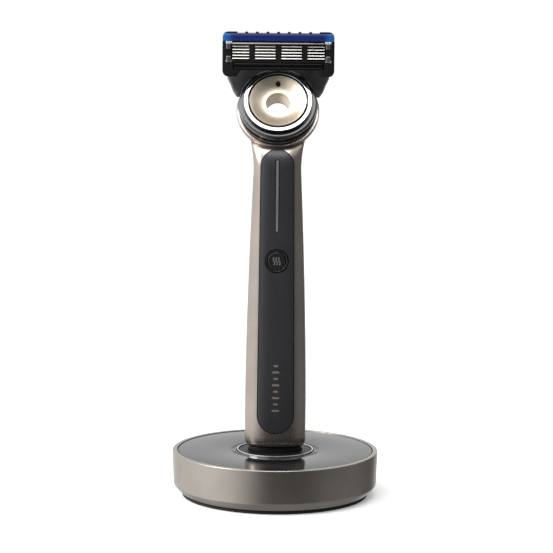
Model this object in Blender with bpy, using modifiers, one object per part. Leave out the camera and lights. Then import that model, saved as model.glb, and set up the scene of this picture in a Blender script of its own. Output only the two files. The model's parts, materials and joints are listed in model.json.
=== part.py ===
"""A heated five-blade cartridge razor standing on its round charging dock.

Lengths are in millimetres and angles in degrees, and each mesh is scaled to metres as it is made.
+Z is up and the razor's front faces -Y. The origin is on the dock's axis, on the surface below it.
"""
import math

import bmesh
import bpy
from mathutils import Matrix, Vector

MM = 0.001
GAP = 0.3                       # clearance between neighbouring pieces
FINE = 36                       # sides of a large turned piece
COARSE = 14                     # sides of a small turned piece
MERGE = 0.00001                 # metres

# Dock
DOCK_RADIUS = 38.75
DOCK_DRAFT = 0.45               # how far the wall leans in towards its foot
DOCK_HEIGHT = 17.1
DOCK_WALL = 1.85
DOCK_EDGE = 0.5
DOCK_CHAMFER = 3.0
FOOT_HEIGHT = 1.0
PLATE_DROP = 0.2                # the top plate's face lies this far below the rim
PLATE_THICKNESS = 1.2
PLATE_GROOVES = (1.0, 1.85)     # each groove's distance outside the plate's hole
GROOVE_WIDTH = 0.3
GROOVE_DEPTH = 0.2
LEDGE_DEPTH = 1.7
LEDGE_THICKNESS = 1.4
TRIM_RADIUS = 14.35
TRIM_WIDTH = 0.5
TRIM_PROUD = 0.25
SOCKET_DEPTH = 1.6
CRADLE_BOSS_BOTTOM = 9.2
FLANGE_RADIUS = 30.0
FLANGE_THICKNESS = 1.6
POST_CIRCLE = 26.0
POST_RADIUS = 3.0
POSTS = 3
SCREW_RADIUS = 0.9
SCREW_HEAD_RADIUS = 1.8
SCREW_HEAD_HEIGHT = 0.9
SCREW_LENGTH = 9.0
BASE_THICKNESS = 2.2
BALLAST_RADIUS = 20.0
BALLAST_THICKNESS = 2.6
BOARD_THICKNESS = 1.0
BOARD_HALF_WIDTH = 11.0
BOARD_FRONT = -14.0
BOARD_INSET = 5.75              # from the dock's wall to the board's back edge
INLET_HALF_WIDTH = 4.5
INLET_HEIGHT = 3.2
INLET_LENGTH = 7.3
INLET_WALL = 0.5
PIN_SPACING = 5.0               # charging contacts, each side of the centre
PIN_RADIUS = 0.7
PIN_PROUD = 0.1                 # above the socket's floor

# Handle
SECTION_POWER = 2.6             # exponent of the superelliptical cross-section
BELLY_HALF_WIDTH = 11.5
BELLY_RISE = 15.8
WAIST_HALF_WIDTH = 8.95
WAIST_RISE = 103.8
TAPER_POWER = 1.6
BELLY_DEPTH = 8.25
WAIST_FRONT = 6.6
WAIST_BACK = 5.9
NECK_RISE = 13.4                # from the waist to the neck's top, inside the head plate
NECK_FLARE = 3.0
NECK_FRONT_RISE = 10.6
NECK_FRONT_FALL = 6.9
NECK_BACK_FALL = 3.8
BOTTOM_ROUND = 1.1
BOTTOM_ROUND_RISE = 3.0
HANDLE_WALL = 1.4
CAVITY_ABOVE_WAIST = 6.5
END_CAP_SHOW = 1.8              # height of end cap between the socket's rim and the metal
END_CAP_INSET = 1.5
END_CAP_PLUG = 5.0
PLUG_SLACK = 0.1
PANEL_BOTTOM_RISE = 5.3
PANEL_TOP_ABOVE_WAIST = 8.4
PANEL_LOW_HALF_WIDTH = 7.0
PANEL_TOP_HALF_WIDTH = 6.3
PANEL_THICKNESS = 1.2
PANEL_SINK = 0.05
WINDOW_BACK = -2.35
BUTTON_BELOW_WAIST = 33.2
BUTTON_RADIUS = 3.3
BUTTON_THICKNESS = 1.15
BUTTON_TRAVEL = 0.6
BEZEL_WIDTH = 0.9
STEM_RADIUS = 1.2
STEM_END = -2.4                 # behind the button's face
LIGHT_TOP_ABOVE_WAIST = 4.4
LIGHT_LENGTH = 26.6
LIGHT_HALF_WIDTH = 0.45
CHASSIS_FRONT = -4.6
CHASSIS_PLATE = 1.2
CHASSIS_HALF_WIDTH = 8.0
CHASSIS_BAY_HALF_WIDTH = 6.0
CHASSIS_BACK = 3.0
CHASSIS_BOTTOM_RISE = 8.8
CHASSIS_TOP_BELOW_WAIST = 6.0
CELL_RADIUS = 4.4
CELL_SPARE = 8.0                # what the bay holds beside its cell and its board
CELL_Y = 1.25
MAIN_BOARD_FRONT = -1.3
MAIN_BOARD_HALF_WIDTH = 5.3
MAIN_BOARD_LENGTH = 31.0
RIBBON_HALF_WIDTH = 2.0
SEAL_WIRE = 0.55

# Head: a round plate on the handle carries a disc that turns about the plate's normal
HEAD_TILT = 57.0                # the disc's axis, from straight up towards the front
HEAD_ABOVE_WAIST = 25.4
PLATE_MARGIN = 0.8              # the plate's rim outside the disc
PLATE_FRONT = -6.1              # distances along the disc's axis, from its front face
HEAD_PLATE_THICKNESS = 2.5
DISC_RADIUS = 14.6
DISC_FRONT = -0.5
DISC_BACK = -5.8
DISC_ROUND = 0.8
TONGUE_DEPTH = 0.8
TONGUE_MID = -3.5
TONGUE_THICKNESS = 1.2
DISC_LIP = 1.9                  # from the disc's edge to the chrome ring
RING_WIDTH = 1.45
RING_PROUD = 1.4                # the chrome ring's face, along the disc's axis
RING_THICKNESS = 2.8
DISH_INSET = 0.75               # from the chrome ring's bore to the dish
DISH_RIM = 1.4
DISH_SINK = 2.5
DISH_THICKNESS = 1.2
HOLE_RADIUS = 4.45
HUB_WALL = 0.75
HUB_FLARE = 0.5
HUB_PLAY = 0.5                  # between the hub and the head plate's hole
REAR_CAP_WIDTH = 2.8
REAR_CAP_THICKNESS = 1.1
DIMPLE_RADIUS = 1.0
DIMPLE_INSET = 2.8
SPRING_RADIUS = 9.4
SPRING_FLOOR = -4.75
MAGNET_RADIUS = 1.0
MAGNET_LENGTH = 1.2
MAGNET_SPACING = 4.0
CONTACT_SPACING = 2.4
CONTACT_RADIUS = 0.55
CONTACT_V = -11.3               # below the disc's axis

# Yoke: slides down over the disc's rim and carries the cartridge
YOKE_FRONT = -2.0
YOKE_BACK = -5.0
TIP = (0.8, 4.6)                # outline points: outside the disc's edge, and above its axis
WAIST = (2.2, 6.8)
HIP = (3.1, 9.4)
SHOULDER = (4.5, 12.7)
YOKE_RISE = 5.0                 # top of the yoke above the disc's edge
ARM_IN = 10.7
ARM_OUT = 13.3
BOSS_RADIUS = 1.9
PIVOT_RADIUS = 0.8
PLUNGER_RADIUS = 0.9
PLUNGER_RISE = 2.5
PLUNGER_HOUSING_FRONT = 8.6
PLUNGER_HOUSING_LENGTH = 4.9
PLUNGER_HOUSING_HALF_WIDTH = 2.6
PLUNGER_TAIL = 4.9

# Cartridge: heights count from its pivot, depths from the dock's axis
PIVOT_Y = 6.3
PIVOT_ABOVE_HEAD = 17.6
CARTRIDGE_TOP = 8.2
CARTRIDGE_BOTTOM = -5.7
CARTRIDGE_FRONT = -2.6
CARTRIDGE_BACK = 5.0
CORNER_RADIUS = 2.2
EAR_DROP = 2.4
EAR_HALF_WIDTH = 2.7
BLADES = 5
BLADE_PITCH = 1.09
BLADE_FIRST = -1.45
BLADE_HALF_LENGTH = 17.0
END_WIDTH = 3.4                 # housing outside the blade window, with the clip in it
STRIP_INSET = 0.2
GUARD_INSET = 0.4
CLIP_OUT = 1.4                  # from the blades' ends to the clip's middle
BLADE_THICKNESS = 0.24
BLADE_STRIP_RISE = 0.85
BLADE_SLANT = 0.4
BLADE_LEG = 3.8
BLADE_EDGE_Y = -2.65
WINDOW_TOP = 4.2
WINDOW_BOTTOM = -2.05
STRUT_SPACING = 9.7
STRUT_WIDTH = 1.6
STRUT_DEPTH = 1.5
STRIP_BOTTOM = 4.9
STRIP_TOP = 7.75
STRIP_FRONT = -3.0
STRIP_BACK = 0.8
RAIL_BOTTOM = 4.0
RAIL_HEIGHT = 0.45
RAIL_FRONT = -3.15
GUARD_TOP = -2.8
GUARD_DEPTH = 1.4
BAR_HEIGHT = 1.1
FIN_HEIGHT = 0.55
HEATER_INSET = 1.9
HEATER_THICKNESS = 0.6
TRIMMER_Y = 3.0
TRIMMER_THICKNESS = 0.3
TRIMMER_LOW = 5.6
CLIP_WIDTH = 1.7
CLIP_SHEET = 0.35
CLIP_TOP = 4.45
CLIP_BOTTOM = -2.7
CLIP_PAD = 2.2
COMB_SLOTS = 8
COMB_PITCH = 3.95
COMB_SLOT_WIDTH = 2.9
COMB_SLOT_DEPTH = 0.8
LUG_THICKNESS = 1.4

# Places that follow from the sizes above
DOCK_LOW_RADIUS = DOCK_RADIUS - DOCK_DRAFT
BOARD_BACK = DOCK_RADIUS - BOARD_INSET
SOCKET_FLOOR = DOCK_HEIGHT - SOCKET_DEPTH
HANDLE_BOTTOM = DOCK_HEIGHT + END_CAP_SHOW + GAP
WAIST_Z = HANDLE_BOTTOM + WAIST_RISE
BELLY_Z = HANDLE_BOTTOM + BELLY_RISE
NECK_TOP = WAIST_Z + NECK_RISE
HEAD_Z = WAIST_Z + HEAD_ABOVE_WAIST
BUTTON_Z = WAIST_Z - BUTTON_BELOW_WAIST
BEZEL_RADIUS = BUTTON_RADIUS + BEZEL_WIDTH
BAY_LENGTH = WAIST_RISE - CHASSIS_BOTTOM_RISE - CHASSIS_TOP_BELOW_WAIST
CELL_LENGTH = BAY_LENGTH - MAIN_BOARD_LENGTH - CELL_SPARE
LIGHT_TOP = WAIST_Z + LIGHT_TOP_ABOVE_WAIST
PIVOT_Z = HEAD_Z + PIVOT_ABOVE_HEAD
PLATE_TOP = DOCK_HEIGHT - PLATE_DROP
FLANGE_TOP = PLATE_TOP - PLATE_THICKNESS - GAP
BOARD_TOP = FOOT_HEIGHT + GAP + BASE_THICKNESS + GAP + BALLAST_THICKNESS + GAP + BOARD_THICKNESS
PIN_TIP = SOCKET_FLOOR + PIN_PROUD
WINDOW_HALF_WIDTH = BLADE_HALF_LENGTH + GAP
CARTRIDGE_HALF_WIDTH = WINDOW_HALF_WIDTH + END_WIDTH
STRIP_HALF_WIDTH = CARTRIDGE_HALF_WIDTH - STRIP_INSET
GUARD_HALF_WIDTH = BLADE_HALF_LENGTH - GUARD_INSET
CLIP_MID = BLADE_HALF_LENGTH + CLIP_OUT
HEATER_HALF_WIDTH = GUARD_HALF_WIDTH - HEATER_INSET
HEATER_BACK = CARTRIDGE_FRONT + GUARD_DEPTH + HEATER_THICKNESS
PLATE_RADIUS = DISC_RADIUS + PLATE_MARGIN
RING_OUTER = DISC_RADIUS - DISC_LIP
RING_INNER = RING_OUTER - RING_WIDTH
DISH_RADIUS = RING_INNER - DISH_INSET
DIMPLE_OUT = DISH_RADIUS - DIMPLE_INSET
HUB_RADIUS = HOLE_RADIUS + HUB_WALL
PLATE_HOLE = HUB_RADIUS + HUB_PLAY
REAR_CAP_RADIUS = HUB_RADIUS + REAR_CAP_WIDTH
YOKE_TIP = (DISC_RADIUS + TIP[0], TIP[1])
YOKE_WAIST = (DISC_RADIUS + WAIST[0], WAIST[1])
YOKE_HIP = (DISC_RADIUS + HIP[0], HIP[1])
YOKE_SHOULDER = (DISC_RADIUS + SHOULDER[0], SHOULDER[1])
YOKE_TOP = DISC_RADIUS + YOKE_RISE

WORLD = Matrix.Identity(4)
HEAD = Matrix.Translation((0, 0, HEAD_Z)) @ Matrix.Rotation(math.radians(HEAD_TILT), 4, "X")
PIVOT = Matrix.Translation((0, PIVOT_Y, PIVOT_Z))
TO_FRONT = Matrix.Rotation(math.radians(90), 4, "X")      # turns +Z to -Y
TO_RIGHT = Matrix.Rotation(math.radians(90), 4, "Y")      # turns +Z to +X

FINISHES = {                    # colour, roughness, metallic
    "bronze_metal": ((0.33, 0.29, 0.26), 0.32, 1.0),
    "dock_metal": ((0.30, 0.28, 0.26), 0.35, 1.0),
    "chrome": ((0.78, 0.79, 0.80), 0.08, 1.0),
    "gold": ((0.80, 0.62, 0.42), 0.22, 1.0),
    "steel": ((0.62, 0.62, 0.62), 0.28, 1.0),
    "gloss_black": ((0.02, 0.02, 0.025), 0.12, 0.0),
    "satin_black": ((0.03, 0.03, 0.035), 0.45, 0.0),
    "yoke_grey": ((0.05, 0.05, 0.055), 0.40, 0.0),
    "strip_blue": ((0.02, 0.06, 0.22), 0.35, 0.0),
    "rubber": ((0.02, 0.02, 0.02), 0.80, 0.0),
    "board_green": ((0.03, 0.16, 0.07), 0.50, 0.0),
    "brass": ((0.72, 0.55, 0.25), 0.25, 1.0),
    "light": ((0.55, 0.55, 0.56), 0.40, 0.0),
    "cell_blue": ((0.05, 0.12, 0.30), 0.35, 0.0),
    "ribbon": ((0.62, 0.36, 0.10), 0.45, 0.0),
}


# --- Making pieces -------------------------------------------------------------------------------

def clear_scene():
    for thing in list(bpy.data.objects):
        bpy.data.objects.remove(thing, do_unlink=True)


def new_collection(name):
    made = bpy.data.collections.new(name)
    bpy.context.scene.collection.children.link(made)
    return made


def finish_named(name):
    """The Principled material of that finish, made on its first use."""
    found = bpy.data.materials.get(name)
    if found:
        return found
    colour, roughness, metallic = FINISHES[name]
    material = bpy.data.materials.new(name)
    material.use_nodes = True
    shader = material.node_tree.nodes["Principled BSDF"]
    shader.inputs["Base Color"].default_value = (*colour, 1.0)
    shader.inputs["Roughness"].default_value = roughness
    shader.inputs["Metallic"].default_value = metallic
    return material


def in_metres(matrix):
    scaled = matrix.copy()
    scaled.translation = matrix.translation * MM
    return scaled


def new_pivot(name, frame):
    """An empty on a joint's axis, which the pieces of a moving body hang from."""
    empty = bpy.data.objects.new(name, None)
    empty.empty_display_size = 0.01
    empty.matrix_world = in_metres(frame)
    RAZOR.objects.link(empty)
    return empty, frame


def add_object(name, data, matrix, pivot):
    made = bpy.data.objects.new(name, data)
    if pivot is None:
        CUTTERS.objects.link(made)
        made.hide_render = True
        made.display_type = "WIRE"
        made.matrix_world = in_metres(matrix)
    else:
        empty, frame = pivot
        RAZOR.objects.link(made)
        made.parent = empty
        made.matrix_local = in_metres(frame.inverted() @ matrix)
    return made


def piece(name, shape, finish, pivot, frame=WORLD):
    """An object from a bmesh that was drawn in millimetres, in the given frame."""
    scale = Matrix.Diagonal((MM, MM, MM, 1.0))
    centre = WORLD if pivot is None else pivot[1]
    bmesh.ops.transform(shape, matrix=scale @ centre.inverted() @ frame, verts=shape.verts)
    bmesh.ops.recalc_face_normals(shape, faces=shape.faces)
    mesh = bpy.data.meshes.new(name)
    shape.to_mesh(mesh)
    shape.free()
    mesh.shade_smooth()
    mesh.set_sharp_from_angle(angle=math.radians(30))
    if finish:
        mesh.materials.append(finish_named(finish))
    return add_object(name, mesh, centre, pivot)


def cutter(shape, frame=WORLD):
    return piece("cutter", shape, None, None, frame)


def boolean(target, other, operation):
    modifier = target.modifiers.new(operation.lower(), "BOOLEAN")
    modifier.operation = operation
    modifier.solver = "EXACT"
    modifier.object = other


def cut(target, *others):
    for other in others:
        boolean(target, other, "DIFFERENCE")


def join(target, *others):
    for other in others:
        boolean(target, other, "UNION")


def soften(target, width, segments=2):
    modifier = target.modifiers.new("soft_edges", "BEVEL")
    modifier.width = width * MM
    modifier.segments = segments
    modifier.limit_method = "ANGLE"
    modifier.angle_limit = math.radians(40)


def turned(name, profile, finish, pivot, frame=WORLD, steps=COARSE):
    """A profile of (radius, height) points turned about the frame's Z.

    The points run down the outer side and up the inner one. A profile that starts and ends on the
    axis stays open there, and any other is a closed loop.
    """
    mesh = bpy.data.meshes.new(name)
    points = [(radius * MM, 0.0, height * MM) for radius, height in profile]
    edges = [(i, i + 1) for i in range(len(points) - 1)]
    if profile[0][0] or profile[-1][0]:
        edges.append((len(points) - 1, 0))
    mesh.from_pydata(points, edges, [])
    if finish:
        mesh.materials.append(finish_named(finish))
    made = add_object(name, mesh, frame, pivot)
    screw = made.modifiers.new("turn", "SCREW")
    screw.steps = steps
    screw.render_steps = steps
    screw.use_merge_vertices = True
    screw.merge_threshold = MERGE
    screw.use_smooth_shade = True
    return made


def turned_cutter(profile, frame=WORLD, steps=COARSE):
    return turned("cutter", profile, None, None, frame, steps)


def rod(radius, low, high):
    """The profile of a plain rod between two heights."""
    return [(0, high), (radius, high), (radius, low), (0, low)]


def tube(outer, inner, low, high):
    return [(outer, high), (outer, low), (inner, low), (inner, high)]


def block(xs, ys, zs):
    shape = bmesh.new()
    bmesh.ops.create_cube(shape, size=1.0)
    spans = (xs, ys, zs)
    scale = Matrix.Diagonal((*[high - low for low, high in spans], 1.0))
    middle = Matrix.Translation([(low + high) / 2 for low, high in spans])
    bmesh.ops.transform(shape, matrix=middle @ scale, verts=shape.verts)
    return shape


def slab(outline, low, high, across):
    """A flat outline made thick along the axis that it is across, from low to high."""
    curve = bpy.data.curves.new("outline", "CURVE")
    curve.dimensions = "2D"
    curve.fill_mode = "BOTH"
    curve.extrude = (high - low) / 2
    spline = curve.splines.new("POLY")
    spline.points.add(len(outline) - 1)
    for point, (first, second) in zip(spline.points, outline):
        point.co = (first, second, 0.0, 1.0)
    spline.use_cyclic_u = True
    drawn = bpy.data.objects.new("outline", curve)
    bpy.context.scene.collection.objects.link(drawn)
    seen = drawn.evaluated_get(bpy.context.evaluated_depsgraph_get())
    mesh = bpy.data.meshes.new_from_object(seen)
    shape = bmesh.new()
    shape.from_mesh(mesh)
    bmesh.ops.remove_doubles(shape, verts=shape.verts, dist=0.001)
    bpy.data.objects.remove(drawn, do_unlink=True)
    turn, axis = {
        "X": (Matrix(((0, 0, 1, 0), (1, 0, 0, 0), (0, 1, 0, 0), (0, 0, 0, 1))), Vector((1, 0, 0))),
        "Y": (TO_FRONT, Vector((0, 1, 0))),
        "Z": (WORLD, Vector((0, 0, 1))),
    }[across]
    move = Matrix.Translation(axis * (low + high) / 2)
    bmesh.ops.transform(shape, matrix=move @ turn, verts=shape.verts)
    return shape


def arc(centre, radius, start, end, steps):
    """Points on a round stretch, from one angle to another."""
    return [(centre[0] + radius * math.cos(math.radians(start + (end - start) * i / steps)),
             centre[1] + radius * math.sin(math.radians(start + (end - start) * i / steps)))
            for i in range(steps + 1)]


def wire(name, points, radius, finish, pivot, frame=WORLD, closed=False):
    """A round wire along a path of points, in the given frame."""
    curve = bpy.data.curves.new(name, "CURVE")
    curve.dimensions = "3D"
    curve.bevel_depth = radius * MM
    curve.bevel_resolution = 2
    curve.use_fill_caps = not closed
    spline = curve.splines.new("POLY")
    spline.points.add(len(points) - 1)
    to_pivot = pivot[1].inverted() @ frame
    for point, place in zip(spline.points, points):
        point.co = (*(to_pivot @ Vector(place) * MM), 1.0)
    spline.use_cyclic_u = closed
    curve.materials.append(finish_named(finish))
    return add_object(name, curve, pivot[1], pivot)


# --- The handle's outside ------------------------------------------------------------------------

def taper(z):
    """0 at the belly, 1 at the waist and above."""
    along = min(max((z - BELLY_Z) / (WAIST_Z - BELLY_Z), 0.0), 1.0)
    return along ** TAPER_POWER


def quarter_round(rise):
    """0 at 0 and 1 at 1, bending ever faster, as a quarter of a circle does."""
    clamped = min(max(rise, 0.0), 1.0)
    return 1 - math.sqrt(1 - clamped * clamped)


def handle_size(z):
    """Half the width, the front depth and the back depth of the handle at a height."""
    above = (z - WAIST_Z) / NECK_RISE
    above_front = (z - WAIST_Z) / NECK_FRONT_RISE
    rounded = BOTTOM_ROUND * quarter_round(1 - (z - HANDLE_BOTTOM) / BOTTOM_ROUND_RISE)
    width = BELLY_HALF_WIDTH - (BELLY_HALF_WIDTH - WAIST_HALF_WIDTH) * taper(z)
    width += NECK_FLARE * quarter_round(above) - rounded
    front = BELLY_DEPTH - (BELLY_DEPTH - WAIST_FRONT) * taper(z)
    front -= NECK_FRONT_FALL * quarter_round(above_front) + rounded
    back = BELLY_DEPTH - (BELLY_DEPTH - WAIST_BACK) * taper(z)
    back -= NECK_BACK_FALL * quarter_round(above) + rounded
    return width, front, back


def handle_heights(low, high):
    """Where the handle's cross-sections lie: close together at the rounded ends."""
    rounding = [HANDLE_BOTTOM + BOTTOM_ROUND_RISE * share for share in (0, 0.15, 0.5, 1)]
    belly = [HANDLE_BOTTOM + BOTTOM_ROUND_RISE + (BELLY_Z - HANDLE_BOTTOM) * 0.4, BELLY_Z]
    grip = [BELLY_Z + (WAIST_Z - BELLY_Z) * share / 5 for share in range(1, 6)]
    neck = [WAIST_Z + NECK_RISE * math.sin(math.radians(step * 14)) for step in range(1, 7)]
    inside = [z for z in rounding + belly + grip + neck if low + 0.2 < z < high - 0.2]
    return [low, *inside, high]


def loft(sections):
    """A closed skin through rings of points that all have the same count."""
    shape = bmesh.new()
    rings = [[shape.verts.new(point) for point in section] for section in sections]
    for lower, upper in zip(rings, rings[1:]):
        for i in range(len(lower)):
            j = (i + 1) % len(lower)
            shape.faces.new((lower[i], lower[j], upper[j], upper[i]))
    shape.faces.new(list(reversed(rings[0])))
    shape.faces.new(rings[-1])
    return shape


def oval(z, width, front, back, sides):
    """One superelliptical ring between a front and a back depth."""
    middle = (back - front) / 2
    depth = (back + front) / 2
    ring = []
    for i in range(sides):
        angle = 2 * math.pi * i / sides
        across, along = math.cos(angle), math.sin(angle)
        x = width * math.copysign(abs(across) ** (2 / SECTION_POWER), across)
        y = middle + depth * math.copysign(abs(along) ** (2 / SECTION_POWER), along)
        ring.append((x, y, z))
    return ring


def handle_body(inset, low, high, sides=28):
    """The handle's outside between two heights, shrunk by an inset."""
    sections = []
    for z in handle_heights(low, high):
        width, front, back = handle_size(min(max(z, HANDLE_BOTTOM), NECK_TOP))
        sections.append(oval(z, width - inset, front - inset, back - inset, sides))
    return loft(sections)


def plug_body(low, high, inset, sides=24):
    """A straight plug with the outline of the handle's belly near its bottom."""
    width, front, back = handle_size(HANDLE_BOTTOM + BOTTOM_ROUND_RISE)
    return loft([oval(z, width - inset, front - inset, back - inset, sides) for z in (low, high)])


def stadium(bottom, top, low_half_width, top_half_width, steps=10):
    """A long upright outline with a half-round at each end."""
    low = arc((0, bottom + low_half_width), low_half_width, 180, 360, steps)
    high = arc((0, top - top_half_width), top_half_width, 0, 180, steps)
    return low + high


def panel_outline(margin):
    return stadium(HANDLE_BOTTOM + PANEL_BOTTOM_RISE + margin, WAIST_Z + PANEL_TOP_ABOVE_WAIST - margin,
                   PANEL_LOW_HALF_WIDTH - margin, PANEL_TOP_HALF_WIDTH - margin)


def light_outline(margin):
    half = LIGHT_HALF_WIDTH + margin
    return stadium(LIGHT_TOP - LIGHT_LENGTH - margin, LIGHT_TOP + margin, half, half, 4)


def front_skin(name, outline, finish, pivot):
    """A piece of the handle's front face, as thick as the panel, with the given outline."""
    made = piece(name, handle_body(PANEL_SINK, HANDLE_BOTTOM, NECK_TOP), finish, pivot)
    prism = cutter(slab(outline, -BELLY_DEPTH - 5, WINDOW_BACK, "Y"))
    boolean(made, prism, "INTERSECT")
    panel_top = WAIST_Z + PANEL_TOP_ABOVE_WAIST
    cut(made, cutter(handle_body(PANEL_SINK + PANEL_THICKNESS, HANDLE_BOTTOM + 1, panel_top + 0.5)))
    return made


# --- Dock ----------------------------------------------------------------------------------------

def dock_casing(dock):
    bottom = FOOT_HEIGHT + GAP
    inner = DOCK_RADIUS - DOCK_WALL
    chamfer_radius = DOCK_LOW_RADIUS - DOCK_CHAMFER
    shell = turned("dock_shell", [
        (DOCK_RADIUS - DOCK_EDGE, DOCK_HEIGHT),
        (DOCK_RADIUS - 0.15 * DOCK_EDGE, DOCK_HEIGHT - 0.15 * DOCK_EDGE),
        (DOCK_RADIUS, DOCK_HEIGHT - DOCK_EDGE), (DOCK_LOW_RADIUS, bottom + DOCK_CHAMFER),
        (chamfer_radius, bottom), (chamfer_radius - DOCK_WALL, bottom),
        (inner, bottom + DOCK_CHAMFER + DOCK_WALL), (inner, FLANGE_TOP - LEDGE_THICKNESS),
        (inner - LEDGE_DEPTH, FLANGE_TOP - LEDGE_THICKNESS), (inner - LEDGE_DEPTH, FLANGE_TOP),
        (inner, FLANGE_TOP), (inner, DOCK_HEIGHT)], "dock_metal", dock, steps=FINE)
    mouth = block((-INLET_HALF_WIDTH - GAP, INLET_HALF_WIDTH + GAP), (BOARD_BACK - 4, DOCK_RADIUS + 5),
                  (BOARD_TOP, BOARD_TOP + INLET_HEIGHT + 2 * GAP))
    cut(shell, cutter(mouth))

    hole = TRIM_RADIUS + GAP
    rim = DOCK_RADIUS - DOCK_WALL - GAP
    top = PLATE_TOP
    face = [(rim, top), (rim, top - PLATE_THICKNESS), (hole, top - PLATE_THICKNESS), (hole, top)]
    for start in PLATE_GROOVES:
        left = hole + start - GROOVE_WIDTH / 2
        right = left + GROOVE_WIDTH
        face += [(left, top), (left, top - GROOVE_DEPTH), (right, top - GROOVE_DEPTH), (right, top)]
    turned("dock_top_plate", face, "gloss_black", dock, steps=FINE)
    turned("dock_trim_ring",
           tube(TRIM_RADIUS, TRIM_RADIUS - TRIM_WIDTH, FLANGE_TOP + GAP, DOCK_HEIGHT + TRIM_PROUD),
           "chrome", dock, steps=FINE)
    turned("dock_foot_pad", rod(chamfer_radius - GAP, 0, FOOT_HEIGHT), "rubber", dock, steps=FINE)


def post_places():
    """Where the posts and their screws stand, one of them straight to the front."""
    return [Matrix.Rotation(math.radians(360 * i / POSTS - 90), 4,
                            "Z") @ Matrix.Translation((POST_CIRCLE, 0, 0))
            for i in range(POSTS)]


def dock_cradle(dock):
    """The black insert that the handle stands in, with the posts that hold the base plate."""
    radius = TRIM_RADIUS - TRIM_WIDTH - GAP
    flange_bottom = FLANGE_TOP - FLANGE_THICKNESS
    cradle = turned("dock_cradle", [
        (0, DOCK_HEIGHT), (radius, DOCK_HEIGHT), (radius, FLANGE_TOP), (FLANGE_RADIUS, FLANGE_TOP),
        (FLANGE_RADIUS, flange_bottom), (radius, flange_bottom), (radius, CRADLE_BOSS_BOTTOM),
        (0, CRADLE_BOSS_BOTTOM)], "satin_black", dock, steps=FINE)
    base_top = FOOT_HEIGHT + GAP + BASE_THICKNESS
    for place in post_places():
        post = tube(POST_RADIUS, SCREW_RADIUS + GAP, base_top + GAP, flange_bottom + 0.8)
        join(cradle, turned_cutter(post, place))
    cut(cradle, cutter(plug_body(SOCKET_FLOOR, DOCK_HEIGHT + 1, END_CAP_INSET - GAP)))
    for side in (-1, 1):
        place = Matrix.Translation((side * PIN_SPACING, 0, 0))
        cut(cradle, turned_cutter(rod(PIN_RADIUS + GAP, CRADLE_BOSS_BOTTOM - 1, DOCK_HEIGHT), place))


def dock_inside(dock):
    bottom = FOOT_HEIGHT + GAP
    base_top = bottom + BASE_THICKNESS
    ballast_top = base_top + GAP + BALLAST_THICKNESS
    head_room = SCREW_HEAD_HEIGHT + 2 * GAP
    base = turned("dock_base_plate", rod(DOCK_LOW_RADIUS - DOCK_CHAMFER - DOCK_WALL - GAP, bottom, base_top),
                  "satin_black", dock, steps=FINE)
    for number, place in enumerate(post_places(), 1):
        cut(base, turned_cutter([(0, base_top + 1), (SCREW_RADIUS + GAP, base_top + 1),
                                 (SCREW_RADIUS + GAP, bottom + head_room),
                                 (SCREW_HEAD_RADIUS + GAP, bottom + head_room),
                                 (SCREW_HEAD_RADIUS + GAP, bottom - 1), (0, bottom - 1)], place))
        head = bottom + GAP
        turned("dock_screw_" + str(number),
               [(0, head + SCREW_LENGTH), (SCREW_RADIUS, head + SCREW_LENGTH - 0.5),
                (SCREW_RADIUS, head + SCREW_HEAD_HEIGHT), (SCREW_HEAD_RADIUS, head + SCREW_HEAD_HEIGHT),
                (SCREW_HEAD_RADIUS, head), (0.6, head), (0, head + 0.5)], "steel", dock, place, 12)
    for side in (-1, 1):
        stand = turned_cutter(rod(1.6, base_top - 0.5, BOARD_TOP - BOARD_THICKNESS - GAP),
                              Matrix.Translation((side * (BOARD_HALF_WIDTH - 2.4), BOARD_BACK - 6, 0)))
        join(base, stand)
    turned("dock_ballast", rod(BALLAST_RADIUS, base_top + GAP, ballast_top), "steel", dock, steps=24)

    board = piece("dock_circuit_board",
                  block((-BOARD_HALF_WIDTH, BOARD_HALF_WIDTH), (BOARD_FRONT, BOARD_BACK),
                                              (BOARD_TOP - BOARD_THICKNESS, BOARD_TOP)), "board_green", dock)
    for side, name in ((-1, "left"), (1, "right")):
        place = Matrix.Translation((side * PIN_SPACING, 0, 0))
        cut(board, turned_cutter(rod(0.75, BOARD_TOP - 3, BOARD_TOP + 1), place, 12))
        turned("dock_charge_pin_" + name,
               [(0, PIN_TIP), (0.45, PIN_TIP - 0.1), (PIN_RADIUS, PIN_TIP - 0.5),
                (PIN_RADIUS, BOARD_TOP + GAP),
                (0.4, BOARD_TOP + GAP), (0.4, BOARD_TOP - BOARD_THICKNESS),
                (0, BOARD_TOP - BOARD_THICKNESS)],
               "brass", dock, place, 16)
    low = BOARD_TOP + GAP
    back = math.sqrt(DOCK_LOW_RADIUS ** 2 - INLET_HALF_WIDTH ** 2) - 1.0
    inlet = piece("dock_power_inlet",
                  block((-INLET_HALF_WIDTH, INLET_HALF_WIDTH), (back - INLET_LENGTH, back),
                                            (low, low + INLET_HEIGHT)), "steel", dock)
    soften(inlet, INLET_HEIGHT * 0.42, 3)
    mouth = block((-INLET_HALF_WIDTH + INLET_WALL, INLET_HALF_WIDTH - INLET_WALL),
                  (back - INLET_LENGTH + 1, back + 1),
                  (low + INLET_WALL, low + INLET_HEIGHT - INLET_WALL))
    cut(inlet, cutter(mouth))
    tongue = block((-3.2, 3.2), (back - INLET_LENGTH + 0.5, back - 1),
                   (low + INLET_HEIGHT / 2 - 0.35, low + INLET_HEIGHT / 2 + 0.35))
    join(inlet, cutter(tongue))


# --- Handle --------------------------------------------------------------------------------------

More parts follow.
